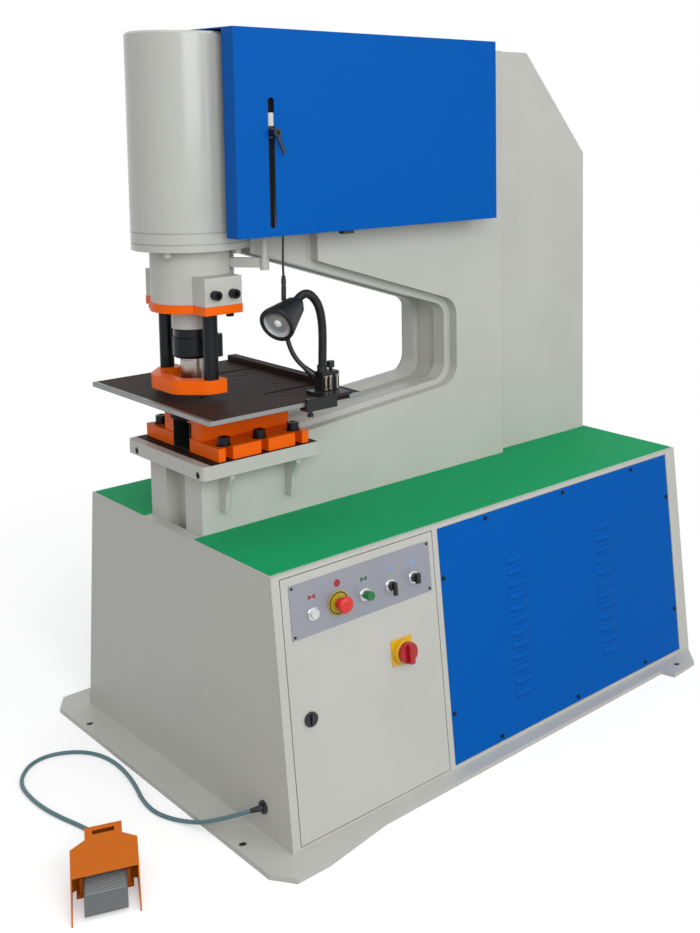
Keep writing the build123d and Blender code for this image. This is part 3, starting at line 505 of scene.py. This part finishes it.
def moulded(name, colour, roughness, grain_mm=0.6, strength=0.12, specular=0.5):
    """Injection-moulded plastic or rubber: even colour with a fine spark-eroded grain."""
    material, tree, shader = new_material(name)
    place = add_node(tree, "ShaderNodeTexCoord")
    grain = add_node(tree, "ShaderNodeTexNoise", {"Scale": 0.5 / (grain_mm * MM), "Detail": 2.0},
                     {"Vector": place.outputs["Object"]})
    tint = add_node(tree, "ShaderNodeMix", {"data_type": "RGBA", "blend_type": "MULTIPLY", 0: 0.25,
                                            6: linear(colour)}, {7: grain.outputs["Color"]})
    tree.links.new(tint.outputs[2], shader.inputs["Base Color"])
    shader.inputs["Roughness"].default_value = roughness
    shader.inputs["Specular IOR Level"].default_value = specular
    soft = add_node(tree, "ShaderNodeBevel", {"samples": 4, "Radius": 0.5 * MM})
    bump = add_node(tree, "ShaderNodeBump", {"Strength": strength, "Distance": 0.1 * MM},
                    {"Height": grain.outputs["Fac"], "Normal": soft.outputs[0]})
    tree.links.new(bump.outputs[0], shader.inputs["Normal"])
    return material


black_plastic = moulded("Black_polyamide_moulded", "#101113", 0.42)
white_print = moulded("White_vinyl_printed", "#D8DCDD", 0.5)
dress(["clamp_lever"], black_plastic)
SLOT_X, SLOT_LOW, SLOT_HIGH, DOG_Z = 95.0, 1416, 1748, 1657.0
# Painted shade: a near-black sheet behind the slot, for the dark inside of the cover.
slot_painted_shade = moulded("Painted_shade_behind_slot", "#07090B", 0.9)
slot_shade_mesh = plate_mesh("slot_lining", SLOT_X - 14, SLOT_X + 14, COVER_Y + 17, COVER_Y + 18, SLOT_LOW, SLOT_HIGH)
add_piece("slot_lining", slot_shade_mesh, "machine", slot_painted_shade)
carrier = plate_mesh("dog_carrier", SLOT_X - 20, SLOT_X + 20, COVER_Y + 4, COVER_Y + 14,
                     DOG_Z - 15, DOG_Z + 15, 1.0)
carrier_piece = add_piece("dog_carrier", carrier, "stroke_dog", black_plastic)
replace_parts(carrier_piece, "stroke_dog")
scale = plate_mesh("stroke_scale", SLOT_X - 8.4, SLOT_X + 8.4, COVER_Y + 3.3, COVER_Y + 4, 1673, 1706, 0.2)
add_piece("stroke_scale", scale, "stroke_dog", white_print)


# Stroke scale: printed marks at a 5 mm pitch on the dog's white carrier, made as one row.
# A small latch under the cover's edge keeps it shut.
def growing_tree(name, inputs):
    """A new Geometry Nodes tree with named inputs, given as each one's kind of socket."""
    tree = bpy.data.node_groups.new(name, "GeometryNodeTree")
    tree.interface.new_socket("Geometry", in_out="OUTPUT", socket_type="NodeSocketGeometry")
    for label, kind in inputs.items():
        tree.interface.new_socket(label, in_out="INPUT", socket_type=f"NodeSocket{kind}")
    return tree, add_node(tree, "NodeGroupInput")


def stamp_at(tree, given, places):
    """Ends a tree: its stamp at each of the places, made real and given its finish."""
    stamp = add_node(tree, "GeometryNodeObjectInfo", None, {"Object": given.outputs["Stamp"]})
    placed = add_node(tree, "GeometryNodeInstanceOnPoints", None,
                      {**places, "Instance": stamp.outputs["Geometry"]})
    solid = add_node(tree, "GeometryNodeRealizeInstances", None, {0: placed.outputs[0]})
    finished = add_node(tree, "GeometryNodeSetMaterial", None,
                        {"Geometry": solid.outputs[0], "Material": given.outputs["Finish"]})
    add_node(tree, "NodeGroupOutput", None, {0: finished.outputs[0]})


def row_tree():
    """Geometry Nodes: one stamp repeated along a line, with its pitch and count as inputs."""
    tree, given = growing_tree("row_of_stamps", {"Geometry": "Geometry", "Count": "Int", "Pitch": "Vector",
                                                 "Stamp": "Object", "Finish": "Material"})
    line = add_node(tree, "GeometryNodeMeshLine", None,
                    {"Count": given.outputs["Count"], "Offset": given.outputs["Pitch"]})
    stamp_at(tree, given, {"Points": line.outputs[0]})
    return tree


rows = row_tree()


def grown_mesh(name, tree, inputs, seed_mesh=None):
    """The plain mesh that a Geometry Nodes tree makes with the given named inputs."""
    holder = bpy.data.objects.new(name + "_holder", seed_mesh or bpy.data.meshes.new(name + "_seed"))
    bpy.context.scene.collection.objects.link(holder)
    modifier = holder.modifiers.new("grow", "NODES")
    modifier.node_group = tree
    for item in tree.interface.items_tree:
        if item.item_type == "SOCKET" and item.in_out == "INPUT" and item.name in inputs:
            modifier[item.identifier] = inputs[item.name]
    bpy.context.view_layer.update()
    mesh = bpy.data.meshes.new_from_object(holder.evaluated_get(bpy.context.evaluated_depsgraph_get()))
    mesh.name = name
    bpy.data.objects.remove(holder)
    return mesh


def stamped_row(name, stamp_mesh, count, pitch_mm, material):
    """A row of one small mesh, grown by the row tree and joined as one mesh."""
    stamp = bpy.data.objects.new(name + "_stamp", stamp_mesh)
    bpy.context.scene.collection.objects.link(stamp)
    mesh = grown_mesh(name, rows, {"Count": count, "Pitch": tuple(v * MM for v in pitch_mm),
                                   "Stamp": stamp, "Finish": material})
    bpy.data.objects.remove(stamp)
    return mesh


black_print = moulded("Black_ink_printed", "#1A1B1D", 0.6)
TICK_COUNT, TICK_PITCH = 7, 5
tick = plate_mesh("tick", SLOT_X - 7.5, SLOT_X - 1.5, COVER_Y + 3.1, COVER_Y + 3.4, 1674.6, 1675.4)
ticks = stamped_row("stroke_ticks", tick, TICK_COUNT, (0, 0, TICK_PITCH), black_print)
add_piece("stroke_ticks", ticks, "stroke_dog", None)
LATCH = (306, 340, COVER_Y + 4, COVER_Y + 26, 1391, 1399.6)
latch = plate_mesh("cover_latch", *LATCH, 1.5)
add_piece("cover_latch", latch, "machine", black_plastic)


# Louvred panel: a sheet-steel cover with two columns of pressed louvres, powder coated blue.
# Each louvre is lanced and raised to a rounded hood that opens downwards, and a near-black patch under each hood is
# painted shade for its opening.
WALL_TOP = Vector((0.0, -478.0, 650.0))
DROP, SPLAY = 638.0, 68.0
LEAN = SPLAY / math.hypot(DROP, SPLAY)
RISE = DROP / math.hypot(DROP, SPLAY)


def wall_spot(x, s, n=0.0, spin=0.0):
    """Place on the sloped near wall: x along it, s down from its top edge, n outward."""
    turn = Matrix(((1, 0, 0), (0, LEAN, -RISE), (0, RISE, LEAN))).to_4x4()
    spot = WALL_TOP + Vector((x, 0, 0)) + turn.to_3x3() @ Vector((0, -s, n))
    return Matrix.Translation(spot * MM) @ turn @ Matrix.Rotation(spin, 4, "Z")


def hood_mesh(name, width, height, proud, gauge=1.2, columns=10, rows_up=5):
    """Raised hood of a louvre about the origin, open along its lower edge, in millimetres."""
    work = bmesh.new()
    grid = []
    for j in range(rows_up + 1):
        v = j / rows_up
        line = []
        for i in range(columns + 1):
            u = i / columns
            rise = math.sin(math.pi * u) ** 0.28 if 0 < u < 1 else 0.0
            bulge = proud * rise * math.cos(v * math.pi / 2) ** 0.8
            line.append(work.verts.new(Vector(((u - 0.5) * width, (v - 0.5) * height, bulge)) * MM))
        grid.append(line)
    for j in range(rows_up):
        for i in range(columns):
            work.faces.new((grid[j][i], grid[j][i + 1], grid[j + 1][i + 1], grid[j + 1][i]))
    lip = bmesh.ops.extrude_face_region(work, geom=list(work.faces))
    for element in lip["geom"]:
        if isinstance(element, bmesh.types.BMVert):
            element.co.z -= gauge * MM
    bmesh.ops.recalc_face_normals(work, faces=work.faces)
    mesh = bpy.data.meshes.new(name)
    work.to_mesh(mesh)
    work.free()
    for face in mesh.polygons:
        face.use_smooth = True
    return mesh


LOUVRE_W, LOUVRE_H, LOUVRE_OUT = 68.0, 15.0, 6.0
LOUVRE_ROWS, LOUVRE_PITCH, LOUVRE_TOP = 12, 33.4, 160.0
LOUVRE_COLUMNS = (664.0, 1019.0)
PANEL_LEFT, PANEL_RIGHT, PANEL_TOP, PANEL_END = 402.0, 1334.0, 14.0, 632.0
SHEET_BACK, SHEET_FACE = -2.6, -0.8
sheet = plate_mesh("louvred_panel", PANEL_LEFT, PANEL_RIGHT, -PANEL_END, -PANEL_TOP, SHEET_BACK, SHEET_FACE, 0.6)
sheet.transform(wall_spot(0, 0))
panel = add_piece("louvred_panel", sheet, "machine", blue_coat)
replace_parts(panel, "louvre_panel")
# Painted shade: near-black patches in the louvres' openings.
louvre_painted_shade = moulded("Painted_shade_under_louvres", "#05070A", 0.9)
for number, column in enumerate(LOUVRE_COLUMNS):
    hood = hood_mesh("hood", LOUVRE_W, LOUVRE_H, LOUVRE_OUT)
    hoods = stamped_row(f"louvres_{number}", hood, LOUVRE_ROWS, (0, -LOUVRE_PITCH, 0), blue_coat)
    hoods.transform(wall_spot(column, LOUVRE_TOP, SHEET_FACE))
    add_piece(f"louvres_{number}", hoods, "machine", None)
    gap = plate_mesh("gap", -LOUVRE_W / 2 + 4, LOUVRE_W / 2 - 4, -LOUVRE_H / 2 - 1.6, -LOUVRE_H / 2 + 4,
                     -0.1, 0.4)
    gaps = stamped_row(f"louvre_gaps_{number}", gap, LOUVRE_ROWS, (0, -LOUVRE_PITCH, 0), louvre_painted_shade)
    gaps.transform(wall_spot(column, LOUVRE_TOP, SHEET_FACE))
    add_piece(f"louvre_gaps_{number}", gaps, "machine", None)


# Anti-slip mat on the cabinet's top: moulded green rubber sheet, glued down.
# A fine pebble grain keeps it matt and hides the dust.
mat_rubber = moulded("Green_rubber_mat_moulded", "#10A868", 0.7,
                     grain_mm=2.4, strength=0.3, specular=0.15)
dress(["top_mat"], mat_rubber)


# Work table, fence, die and punch: ground and turned steel under a film of oil. The table and fence are dark from
# use, and the die takes the same dark finish as painted shade, for the shadow that the stripper foot casts on it.
# The grinding lines run with the long side, and the table shows the tools' brown oxide.
def ground_steel(name, colour, roughness, stretch=(1.0, 40.0, 40.0), spots="#6B5B4C", spot_share=0.35,
                 metallic=1.0, specular=0.5):
    """Ground steel: metal with fine parallel lines, oil film and brown spots.

    Stretched 40 times, the lines are about 2 mm apart, coarser than real ones so that they
    show. The spots lie in patches of about 110 mm."""
    material, tree, shader = new_material(name)
    place = add_node(tree, "ShaderNodeTexCoord")
    drawn = add_node(tree, "ShaderNodeMapping", {"Scale": stretch}, {"Vector": place.outputs["Object"]})
    lines = add_node(tree, "ShaderNodeTexNoise", {"Scale": 14.0, "Detail": 6.0}, {"Vector": drawn.outputs[0]})
    cloud = add_node(tree, "ShaderNodeTexNoise", {"Scale": 9.0, "Detail": 6.0, "Roughness": 0.65},
                     {"Vector": place.outputs["Object"]})
    patch = add_node(tree, "ShaderNodeMapRange", {"From Min": 0.5, "From Max": 0.72, "To Max": spot_share},
                     {"Value": cloud.outputs["Fac"]})
    base = add_node(tree, "ShaderNodeMix", {"data_type": "RGBA", 6: linear(colour), 7: linear(spots)},
                    {0: patch.outputs[0]})
    tree.links.new(base.outputs[2], shader.inputs["Base Color"])
    shader.inputs["Metallic"].default_value = metallic
    shader.inputs["Specular IOR Level"].default_value = specular
    gloss = add_node(tree, "ShaderNodeMapRange", {"From Min": 0.3, "From Max": 0.7, "To Min": roughness - 0.08,
                                                  "To Max": roughness + 0.12}, {"Value": lines.outputs["Fac"]})
    tree.links.new(gloss.outputs[0], shader.inputs["Roughness"])
    soft = add_node(tree, "ShaderNodeBevel", {"samples": 4, "Radius": 0.8 * MM})
    bump = add_node(tree, "ShaderNodeBump", {"Strength": 0.12, "Distance": 0.2 * MM},
                    {"Height": lines.outputs["Fac"], "Normal": soft.outputs[0]})
    tree.links.new(bump.outputs[0], shader.inputs["Normal"])
    return material


table_steel_and_die_shade = ground_steel("Brown_oxide_ground_steel_and_die_shade", "#2C201D", 0.52, spots="#4A3026",
                           metallic=0.0, specular=0.05)
bright_steel = ground_steel("Bright_steel_turned", "#A8A39D", 0.24,
                            stretch=(30.0, 30.0, 1.0), spots="#8A8378", spot_share=0.2)
black_steel = ground_steel("Black_oxide_steel_turned", "#2A2B2D", 0.36,
                           stretch=(20.0, 20.0, 1.0), spots="#1A1A1A", spot_share=0.3)
# The die's dark finish is painted shade, for the shadow under the stripper foot.
dress(["work_table", "fence", "die"], table_steel_and_die_shade)
dress(["punch", "valve_block"], bright_steel)
dress(["punch_coupling", "stripper_legs", "die_bolts", "head_screws", "small_screws"], black_steel)


# Bed: a thick flame-cut plate on gussets, with a bar across its front, enamelled like the frame.
# Its top face is left as ground steel, where the die holder's slotted foot is screwed down.
dress(["bed_plate", "bed_front_bar"], grey_enamel)
BED_FACE = (-72, 236, -194, 194, 847.02, 847.24)
add_piece("bed_face", plate_mesh("bed_face", *BED_FACE), "machine", table_steel_and_die_shade)


# Edge strips: thin light rules fixed along the table's front and near edges, with printed ticks.
# They are anodised aluminium, stuck to the edge faces, with a narrow rule on top at the front.
TABLE_FRONT, TABLE_BACK, TABLE_HALF, TABLE_TOP = -134.0, 296.0, 302.0, 988.0
LAMP_CLAMP = (185.0, 263.0)
rule_metal = ground_steel("Aluminium_rule_anodised", "#8C8F8E", 0.45,
                          stretch=(1.0, 1.0, 1.0), spots="#9A9C9B", spot_share=0.2)
RULE_W, STRIP_T = 9, 0.6
rule = plate_mesh("rule_front", TABLE_FRONT, TABLE_FRONT + RULE_W, -TABLE_HALF, TABLE_HALF,
                  TABLE_TOP, TABLE_TOP + 0.25)
add_piece("rule_front", rule, "machine", rule_metal)
STRIPS = {"edge_front": (TABLE_FRONT - STRIP_T, TABLE_FRONT, -TABLE_HALF - STRIP_T, TABLE_HALF),
          "edge_near": (TABLE_FRONT, LAMP_CLAMP[0], -TABLE_HALF - STRIP_T, -TABLE_HALF),
          "edge_near_rear": (LAMP_CLAMP[1], TABLE_BACK, -TABLE_HALF - STRIP_T, -TABLE_HALF)}
for name, outline in STRIPS.items():
    strip = plate_mesh(name, *outline, TABLE_TOP - 11.5, TABLE_TOP - 0.2, 0.2)
    add_piece(name, strip, "machine", rule_metal)
MARK_COUNT, MARK_PITCH = 60, 10
mark = plate_mesh("mark", TABLE_FRONT + 4, TABLE_FRONT + RULE_W, -298.3, -297.7,
                  TABLE_TOP + 0.2, TABLE_TOP + 0.32)
marks = stamped_row("rule_marks", mark, MARK_COUNT, (0, MARK_PITCH, 0), black_print)
add_piece("rule_marks", marks, "machine", None)


# Die holder, stripper plate and stripper foot: machined steel, brushed with orange enamel.
# Their working edges are chipped back to the steel.
orange_enamel = sprayed_enamel("Orange_enamel_brushed_steel", "#FF6A08", "#8A3A14",
                               roughness=0.36, edge=0.6, grime=0.12, peel_mm=3.5, specular=0.15)
dress(["die_holder", "stripper_plate", "stripper_foot"], orange_enamel)


# Slug chute: a folded sheet tray pushed into the die holder's front opening.
# It is painted dark green and carries the punched slugs out to a bucket, and its near-black green is also painted
# shade for the dark inside of the opening.
chute_green_and_shade = sprayed_enamel("Dark_green_enamel_and_painted_shade_chute", "#16201C", "#3A3F3C",
                             roughness=0.45, edge=0.3, grime=0.3)


def joined_blocks(name, boxes, soft_mm=0.3):
    """Several blocks, given as x0, x1, y0, y1, z0, z1 in millimetres, in one mesh."""
    work = bmesh.new()
    for box in boxes:
        part = plate_mesh(name + "_part", *box, soft_mm)
        work.from_mesh(part)
        bpy.data.meshes.remove(part)
    mesh = bpy.data.meshes.new(name)
    work.to_mesh(mesh)
    work.free()
    return mesh


CHUTE = [(-44, 58, -41.6, -39.8, 847.4, 918.4), (-44, 58, 39.8, 41.6, 847.4, 918.4),
         (-44, 58, -39.8, 39.8, 847.4, 849.0), (57.0, 59.4, -41.6, 41.6, 847.4, 918.4)]
add_piece("slug_chute", joined_blocks("slug_chute", CHUTE), "machine", chute_green_and_shade)


# Stroke dog's stud: turned steel with a black oxide, fixed in the carrier behind the cover.
# Its collar sits outside the cover, and its end stands out to take the clamping lever.
DOG_STUD = [(0, -21), (8.4, -21), (8.4, -4), (10, -3.4), (10, -0.4), (5, 0), (5, 18), (4.2, 20), (0, 20)]
dog_spot = Vector((SLOT_X, COVER_Y - 6, DOG_Z)) * MM
dog_place = Matrix.Translation(dog_spot) @ Matrix.Rotation(math.radians(90), 4, "X")
dog_stud = turned_mesh("dog_stud", DOG_STUD, dog_place, 32)
add_piece("dog_stud", dog_stud, "stroke_dog", black_steel)


# Work lamp: a black pressed-steel shade on a gooseneck that is wound from steel strip.
# It stands on a clamp bracket at the table's near edge and holds a frosted reflector bulb.
lamp_black = sprayed_enamel("Black_stove_enamel_steel", "#17181A", "#4A4A4A",
                            roughness=0.35, edge=0.4, grime=0.1)
dress(["lamp_bracket", "lamp_stand", "lamp_head"], lamp_black)
HEAD_AXIS = Vector((-95.8, -40.4, -45.5)).normalized()
HEAD_BACK = Vector((157, -241, 1231))
head_frame = Matrix.Translation(HEAD_BACK * MM) @ HEAD_AXIS.to_track_quat("Z", "Y").to_matrix().to_4x4()
reflector = plain_finish("Aluminium_reflector_spun", "#A8AAAD", 0.42, metallic=1.0)
frosted = moulded("Frosted_glass_pressed", "#F4F6F6", 0.3, grain_mm=1.5, strength=0.2)
BOWL = [(36.4, 106.0), (34, 103.5), (30, 101.6), (24, 100.9), (12, 100.8), (0, 100.7)]
RIM = [(36.2, 101.0), (41.3, 101.0), (41.3, 107.2), (38.4, 107.6), (36.2, 106.6), (36.2, 101.0)]
BULB = [(0, 107.2), (4, 106.8), (7.5, 105.4), (9.6, 103), (10, 100.9), (0, 100.85)]
for name, profile, finish, slot in (("lamp_reflector", BOWL, reflector, "machined_steel"),
                                    ("lamp_rim", RIM, lamp_black, "black_paint"),
                                    ("lamp_bulb", BULB, frosted, "white_plastic")):
    add_piece(name, turned_mesh(name, profile, head_frame), "machine", finish)
CLAMP_STUD = [(0, 0), (5.5, 0), (5.5, 5), (3, 5), (3, 33), (5.5, 33), (5.5, 38), (0, 38)]
CLAMP_STUD_X, CLAMP_STUD_Y, CLAMP_STUD_Z = (216, 230, 250), -266, 998
for number, x in enumerate(CLAMP_STUD_X):
    stud_place = Matrix.Translation(Vector((x, CLAMP_STUD_Y, CLAMP_STUD_Z)) * MM)
    stud = turned_mesh(f"lamp_stud_{number}", CLAMP_STUD, stud_place, 6)
    add_piece(f"lamp_stud_{number}", stud, "machine", bright_steel)


# Gooseneck: a flexible arm wound from steel strip and stove enamelled black.
# The wound strip shows as close ribs, one ring for every turn along the neck's line.
def ring_tree():
    """Geometry Nodes: rings along a line at a set pitch, turned square to it."""
    tree, given = growing_tree("wound_rings", {"Geometry": "Geometry", "Pitch": "Float",
                                               "Stamp": "Object", "Finish": "Material"})
    curve = add_node(tree, "GeometryNodeMeshToCurve", None, {0: given.outputs["Geometry"]})
    points = add_node(tree, "GeometryNodeCurveToPoints", {"mode": "LENGTH"},
                      {"Curve": curve.outputs[0], "Length": given.outputs["Pitch"]})
    stamp_at(tree, given, {"Points": points.outputs["Points"], "Rotation": points.outputs["Rotation"]})
    return tree


NECK_Y = -244.0
NECK = [(221, 1046), (224, 1109), (224, 1166), (217, 1209), (202, 1235), (183, 1251), (163, 1249)]
NECK_END = (148, NECK_Y - 1, 1236)
RING = [(9.0, -1.3), (10.6, -0.9), (11.1, 0.0), (10.6, 0.9), (9.0, 1.3)]
RING_PITCH = 3.0
neck_curve = cable("neck_line", [(x, NECK_Y, z) for x, z in NECK] + [NECK_END], 0.0, None)
neck_line = centreline(neck_curve)
bpy.data.objects.remove(neck_curve)
line_mesh = bpy.data.meshes.new("neck_line")
line_mesh.from_pydata([tuple(p) for p in neck_line], [(i, i + 1) for i in range(len(neck_line) - 1)], [])
ring_stamp = bpy.data.objects.new("neck_ring", turned_mesh("neck_ring", RING, Matrix.Identity(4), 20))
bpy.context.scene.collection.objects.link(ring_stamp)
neck = grown_mesh("gooseneck_rings", ring_tree(),
                  {"Pitch": RING_PITCH * MM, "Stamp": ring_stamp, "Finish": lamp_black}, line_mesh)
bpy.data.objects.remove(ring_stamp)
add_piece("gooseneck_rings", neck, "machine", None)


# Control plate: a printed aluminium sheet screwed to the door, with the device legends.
# The devices are standard 22 mm ones: metal bezels, moulded caps and a yellow stop plate.
plate_print = ground_steel("Aluminium_panel_printed", "#9496A0", 0.42,
                           stretch=(1.0, 1.0, 1.0), spots="#8A8D96", spot_share=0.3, metallic=0.35)
dress(["control_plate"], plate_print)
chrome = plain_finish("Chromed_brass_plated", "#D2D4D6", 0.16, metallic=1.0)
yellow_plastic = moulded("Yellow_ABS_moulded", "#E9B50B", 0.36)
stop_yellow = moulded("Faded_yellow_ABS_moulded", "#B8A81C", 0.4)
red_plastic = moulded("Red_ABS_moulded", "#DE2A26", 0.3)
dial_red = moulded("Dark_red_ABS_moulded", "#B40F18", 0.22)
green_plastic = moulded("Green_polycarbonate_moulded", "#0E7A3C", 0.2)
white_plastic = moulded("White_polycarbonate_moulded", "#DADEDE", 0.25)
FACE = 2.3

# Each device's middle on the door: along the wall, and down from its top edge.
SPOTS = {"white": (10, 114), "stop": (83, 110), "green": (160, 112), "left": (238, 112), "right": (310, 112),
         "main": (258, 283), "lock": (-18, 354)}
BEZEL = [(11.15, 0.2), (15.2, 0.2), (15.2, 3.2), (14.2, 3.8), (14.2, 6.8), (13.4, 7.8), (11.15, 8.0), (11.15, 0.2)]
for name in ("white", "green", "left", "right"):
    bezel = turned_mesh(f"bezel_{name}", BEZEL, wall_spot(*SPOTS[name], FACE))
    add_piece(f"bezel_{name}", bezel, "door", chrome)
STOP_PLATE = [(11.15, 0.1), (29.5, 0.1), (30, 0.6), (30, 1.6), (29.4, 2.0), (11.15, 2.0), (11.15, 0.1)]
stop_plate = turned_mesh("stop_plate", STOP_PLATE, wall_spot(*SPOTS["stop"], FACE), 64)
stop_plate_piece = add_piece("stop_plate", stop_plate, "door", stop_yellow)
MAIN_HALF = 32
main_base = plate_mesh("main_base", -MAIN_HALF, MAIN_HALF, -MAIN_HALF, MAIN_HALF, 0.2, 2.2, 0.8)
main_base.transform(wall_spot(*SPOTS["main"]))
main_base_piece = add_piece("main_base", main_base, "door", yellow_plastic)
COLLAR = [(9.1, 2.2), (30, 2.2), (30, 17.5), (28.5, 19.6), (9.1, 19.6), (9.1, 2.2)]
collar = turned_mesh("main_collar", COLLAR, wall_spot(*SPOTS["main"]), 64)
add_piece("main_collar", collar, "door", yellow_plastic)
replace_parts(stop_plate_piece, "control_bezels")
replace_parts(main_base_piece, "control_bezels")

for name, plastic, slot, proud in (("white", white_plastic, "white_plastic", 15.8),
                                   ("green", green_plastic, "green_plastic", 30.8)):
    node = f"push_{name}"
    profile = [(0, -26), (8, -26), (8, -3.5), (11.0, -3.5), (11.0, proud - 1.4), (10.0, proud), (6, proud - 0.6),
               (0, proud - 0.8)]
    cap = turned_mesh(f"{node}_cap", profile, wall_spot(*SPOTS[name]))
    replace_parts(add_piece(f"{node}_cap", cap, node, plastic), node)

MUSHROOM = [(0, -27), (8, -27), (8, -8), (11, -8), (11, 11.5), (14, 12), (13.4, 25.6), (18.5, 26), (20, 28),
            (20, 33.5), (18.4, 37), (14.2, 39.2), (8, 40), (0, 40)]
mushroom = turned_mesh("stop_mushroom", MUSHROOM, wall_spot(*SPOTS["stop"]), 64)
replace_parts(add_piece("stop_mushroom", mushroom, "emergency_stop", red_plastic), "emergency_stop")


# Marks on the control plate: small plain symbols printed above the devices, in three inks.
# Four pan-head screws hold the plate's corners, and a black ring is printed on the stop plate.
red_ink = moulded("Red_ink_printed", "#A3262A", 0.55)
green_ink = moulded("Green_ink_printed", "#1F6B45", 0.55)
pale_ink = moulded("Pale_blue_ink_printed", "#8FA6C8", 0.55)
PRINT = [(0, 0.02), (1, 0.02), (1, 0.14), (0, 0.14)]

# Each mark: its spot on the wall, radius, number of sides and turn in degrees, ink and slot.
MARKS = {"white_left": (4, 74, 7.5, 3, 0, red_ink, "red_plastic"),
         "white_right": (16, 74, 7.5, 3, 180, red_ink, "red_plastic"),
         "stop": (83, 62, 9, 32, 0, red_ink, "red_plastic"),
         "green_left": (154, 74, 7.5, 3, 0, green_ink, "green_plastic"),
         "green_right": (166, 74, 7.5, 3, 180, green_ink, "green_plastic"),
         "left": (238, 72, 9, 5, 90, pale_ink, "white_plastic"),
         "right": (310, 72, 11, 6, 0, pale_ink, "white_plastic")}
for name, (x, s, radius, sides, spin, ink, slot) in MARKS.items():
    mark = turned_mesh(f"mark_{name}", [(r * radius, n) for r, n in PRINT],
                       wall_spot(x, s, FACE, math.radians(spin)), sides, smooth=False)
    add_piece(f"mark_{name}", mark, "door", ink)
ARC = [(24.0, 2.02), (27.0, 2.02), (27.0, 2.12), (24.0, 2.12), (24.0, 2.02)]
arc = turned_mesh("stop_arc", ARC, wall_spot(*SPOTS["stop"], FACE), 64, smooth=False)
add_piece("stop_arc", arc, "door", black_print)
SCREW = [(0, 2.3), (1.6, 2.2), (3.0, 1.5), (3.6, 0.3), (3.6, 0.02), (0, 0.02)]
SCREW_X, SCREW_APART = -42, 402
for name, s in (("plate_screws_top", 41), ("plate_screws_low", 155)):
    head = turned_mesh("pan_head", SCREW, Matrix.Translation(Vector((SCREW_X, -s, FACE)) * MM), 16)
    pair = stamped_row(name, head, 2, (SCREW_APART, 0, 0), black_steel)
    pair.transform(wall_spot(0, 0))
    add_piece(name, pair, "door", None)


# Rotary switches and the door's lock: moulded posts, a dial and a lock body on their stems.
# Each has a bar across it that the fingers turn, moulded in one with it.
def grip_mesh(name, half_w, half_l, n0, n1, place, shift=0.0, soft=2.5):
    """A rounded bar between two heights over its spot, moved along by shift."""
    grip = plate_mesh(name, -half_w, half_w, -half_l + shift, half_l + shift, n0, n1, soft)
    grip.transform(place)
    return grip


POST = [(0, -25), (8, -25), (8, -3), (11, -3), (11, 17.0), (10, 17.9), (0, 17.9)]
for name, half_w, half_l, shift in (("left", 4.5, 15.5, -7.0), ("right", 6.0, 13.0, 0.0)):
    node, place = f"selector_{name}", wall_spot(*SPOTS[name])
    post = turned_mesh(f"{node}_post", POST, place)
    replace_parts(add_piece(f"{node}_post", post, node, black_plastic), node)
    grip = grip_mesh(f"{node}_grip", half_w, half_l, 16.5, 28, place, shift)
    add_piece(f"{node}_grip", grip, node, black_plastic)

DIAL = [(0, -10), (9, -10), (9, 20.2), (26, 20.4), (26, 32), (24.4, 34), (0, 34)]
main_place = wall_spot(*SPOTS["main"])
dial = turned_mesh("main_dial", DIAL, main_place, 64)
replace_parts(add_piece("main_dial", dial, "main_switch", dial_red), "main_switch")
main_grip = grip_mesh("main_grip", 7.5, 25.5, 32, 46, main_place, soft=3.0)
add_piece("main_grip", main_grip, "main_switch", dial_red)
LOCK_BODY = [(0, -16), (11, -16), (11, 0.3), (17, 0.4), (17, 6.5), (15.5, 8.3), (0, 8.3)]
lock_place = wall_spot(*SPOTS["lock"])
lock_body = turned_mesh("lock_body", LOCK_BODY, lock_place)
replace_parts(add_piece("lock_body", lock_body, "door_lock", black_plastic), "door_lock")
lock_grip = grip_mesh("lock_grip", 4, 13, 7, 14, lock_place, soft=2.0)
add_piece("lock_grip", lock_grip, "door_lock", black_plastic)


# Foot pedal: a pressed orange hood over a ribbed grey tread on a cast base.
# The hood keeps dropped work off the tread, and the ribs stop a boot from slipping.
# The pale orange on the corners is a painted highlight, for the light caught along the hood's edges.
pedal_orange = sprayed_enamel("Orange_enamel_pressed_steel", "#C8650C", "#F2A050",
                              roughness=0.4, edge=0.9, grime=0.12, specular=0.2)
tread_grey = moulded("Grey_rubber_tread_moulded", "#6E7274", 0.55, grain_mm=1.2, strength=0.3)
# The ribs are coloured a lighter grey than the tread.
rib_grey = moulded("Light_grey_rubber_rib_moulded", "#A4A8AA", 0.5)
dress(["pedal_guard", "pedal_base"], pedal_orange)
dress(["treadle"], tread_grey)
dress(["cable_gland"], black_plastic)
RIB = (-96.2, -93.9, -41, 41, 43.2, 46.6)
RIB_COUNT, RIB_STEP = 11, (6.0, 0, -0.324)
ribs = stamped_row("tread_ribs", plate_mesh("rib", *RIB, 0.6), RIB_COUNT, RIB_STEP, rib_grey)
pedal_place = Matrix.Translation(PEDAL_AT * MM) @ Matrix.Rotation(PEDAL_TURN, 4, "Z")
ribs.transform(pedal_place)
add_piece("tread_ribs", ribs, "treadle", None)


# Inside the cabinet: the oil tank is welded sheet steel in a plain grey primer.
# The switchgear behind the door is a mounting plate with pale moulded housings on it.
tank_primer = sprayed_enamel("Grey_primer_sprayed_steel", "#7B8082", "#55585A", roughness=0.55)
dress(["oil_tank"], tank_primer)
dress(["switchgear_plate"], moulded("Pale_grey_polyamide_moulded", "#B4B8B8", 0.5))

bpy.context.view_layer.update()
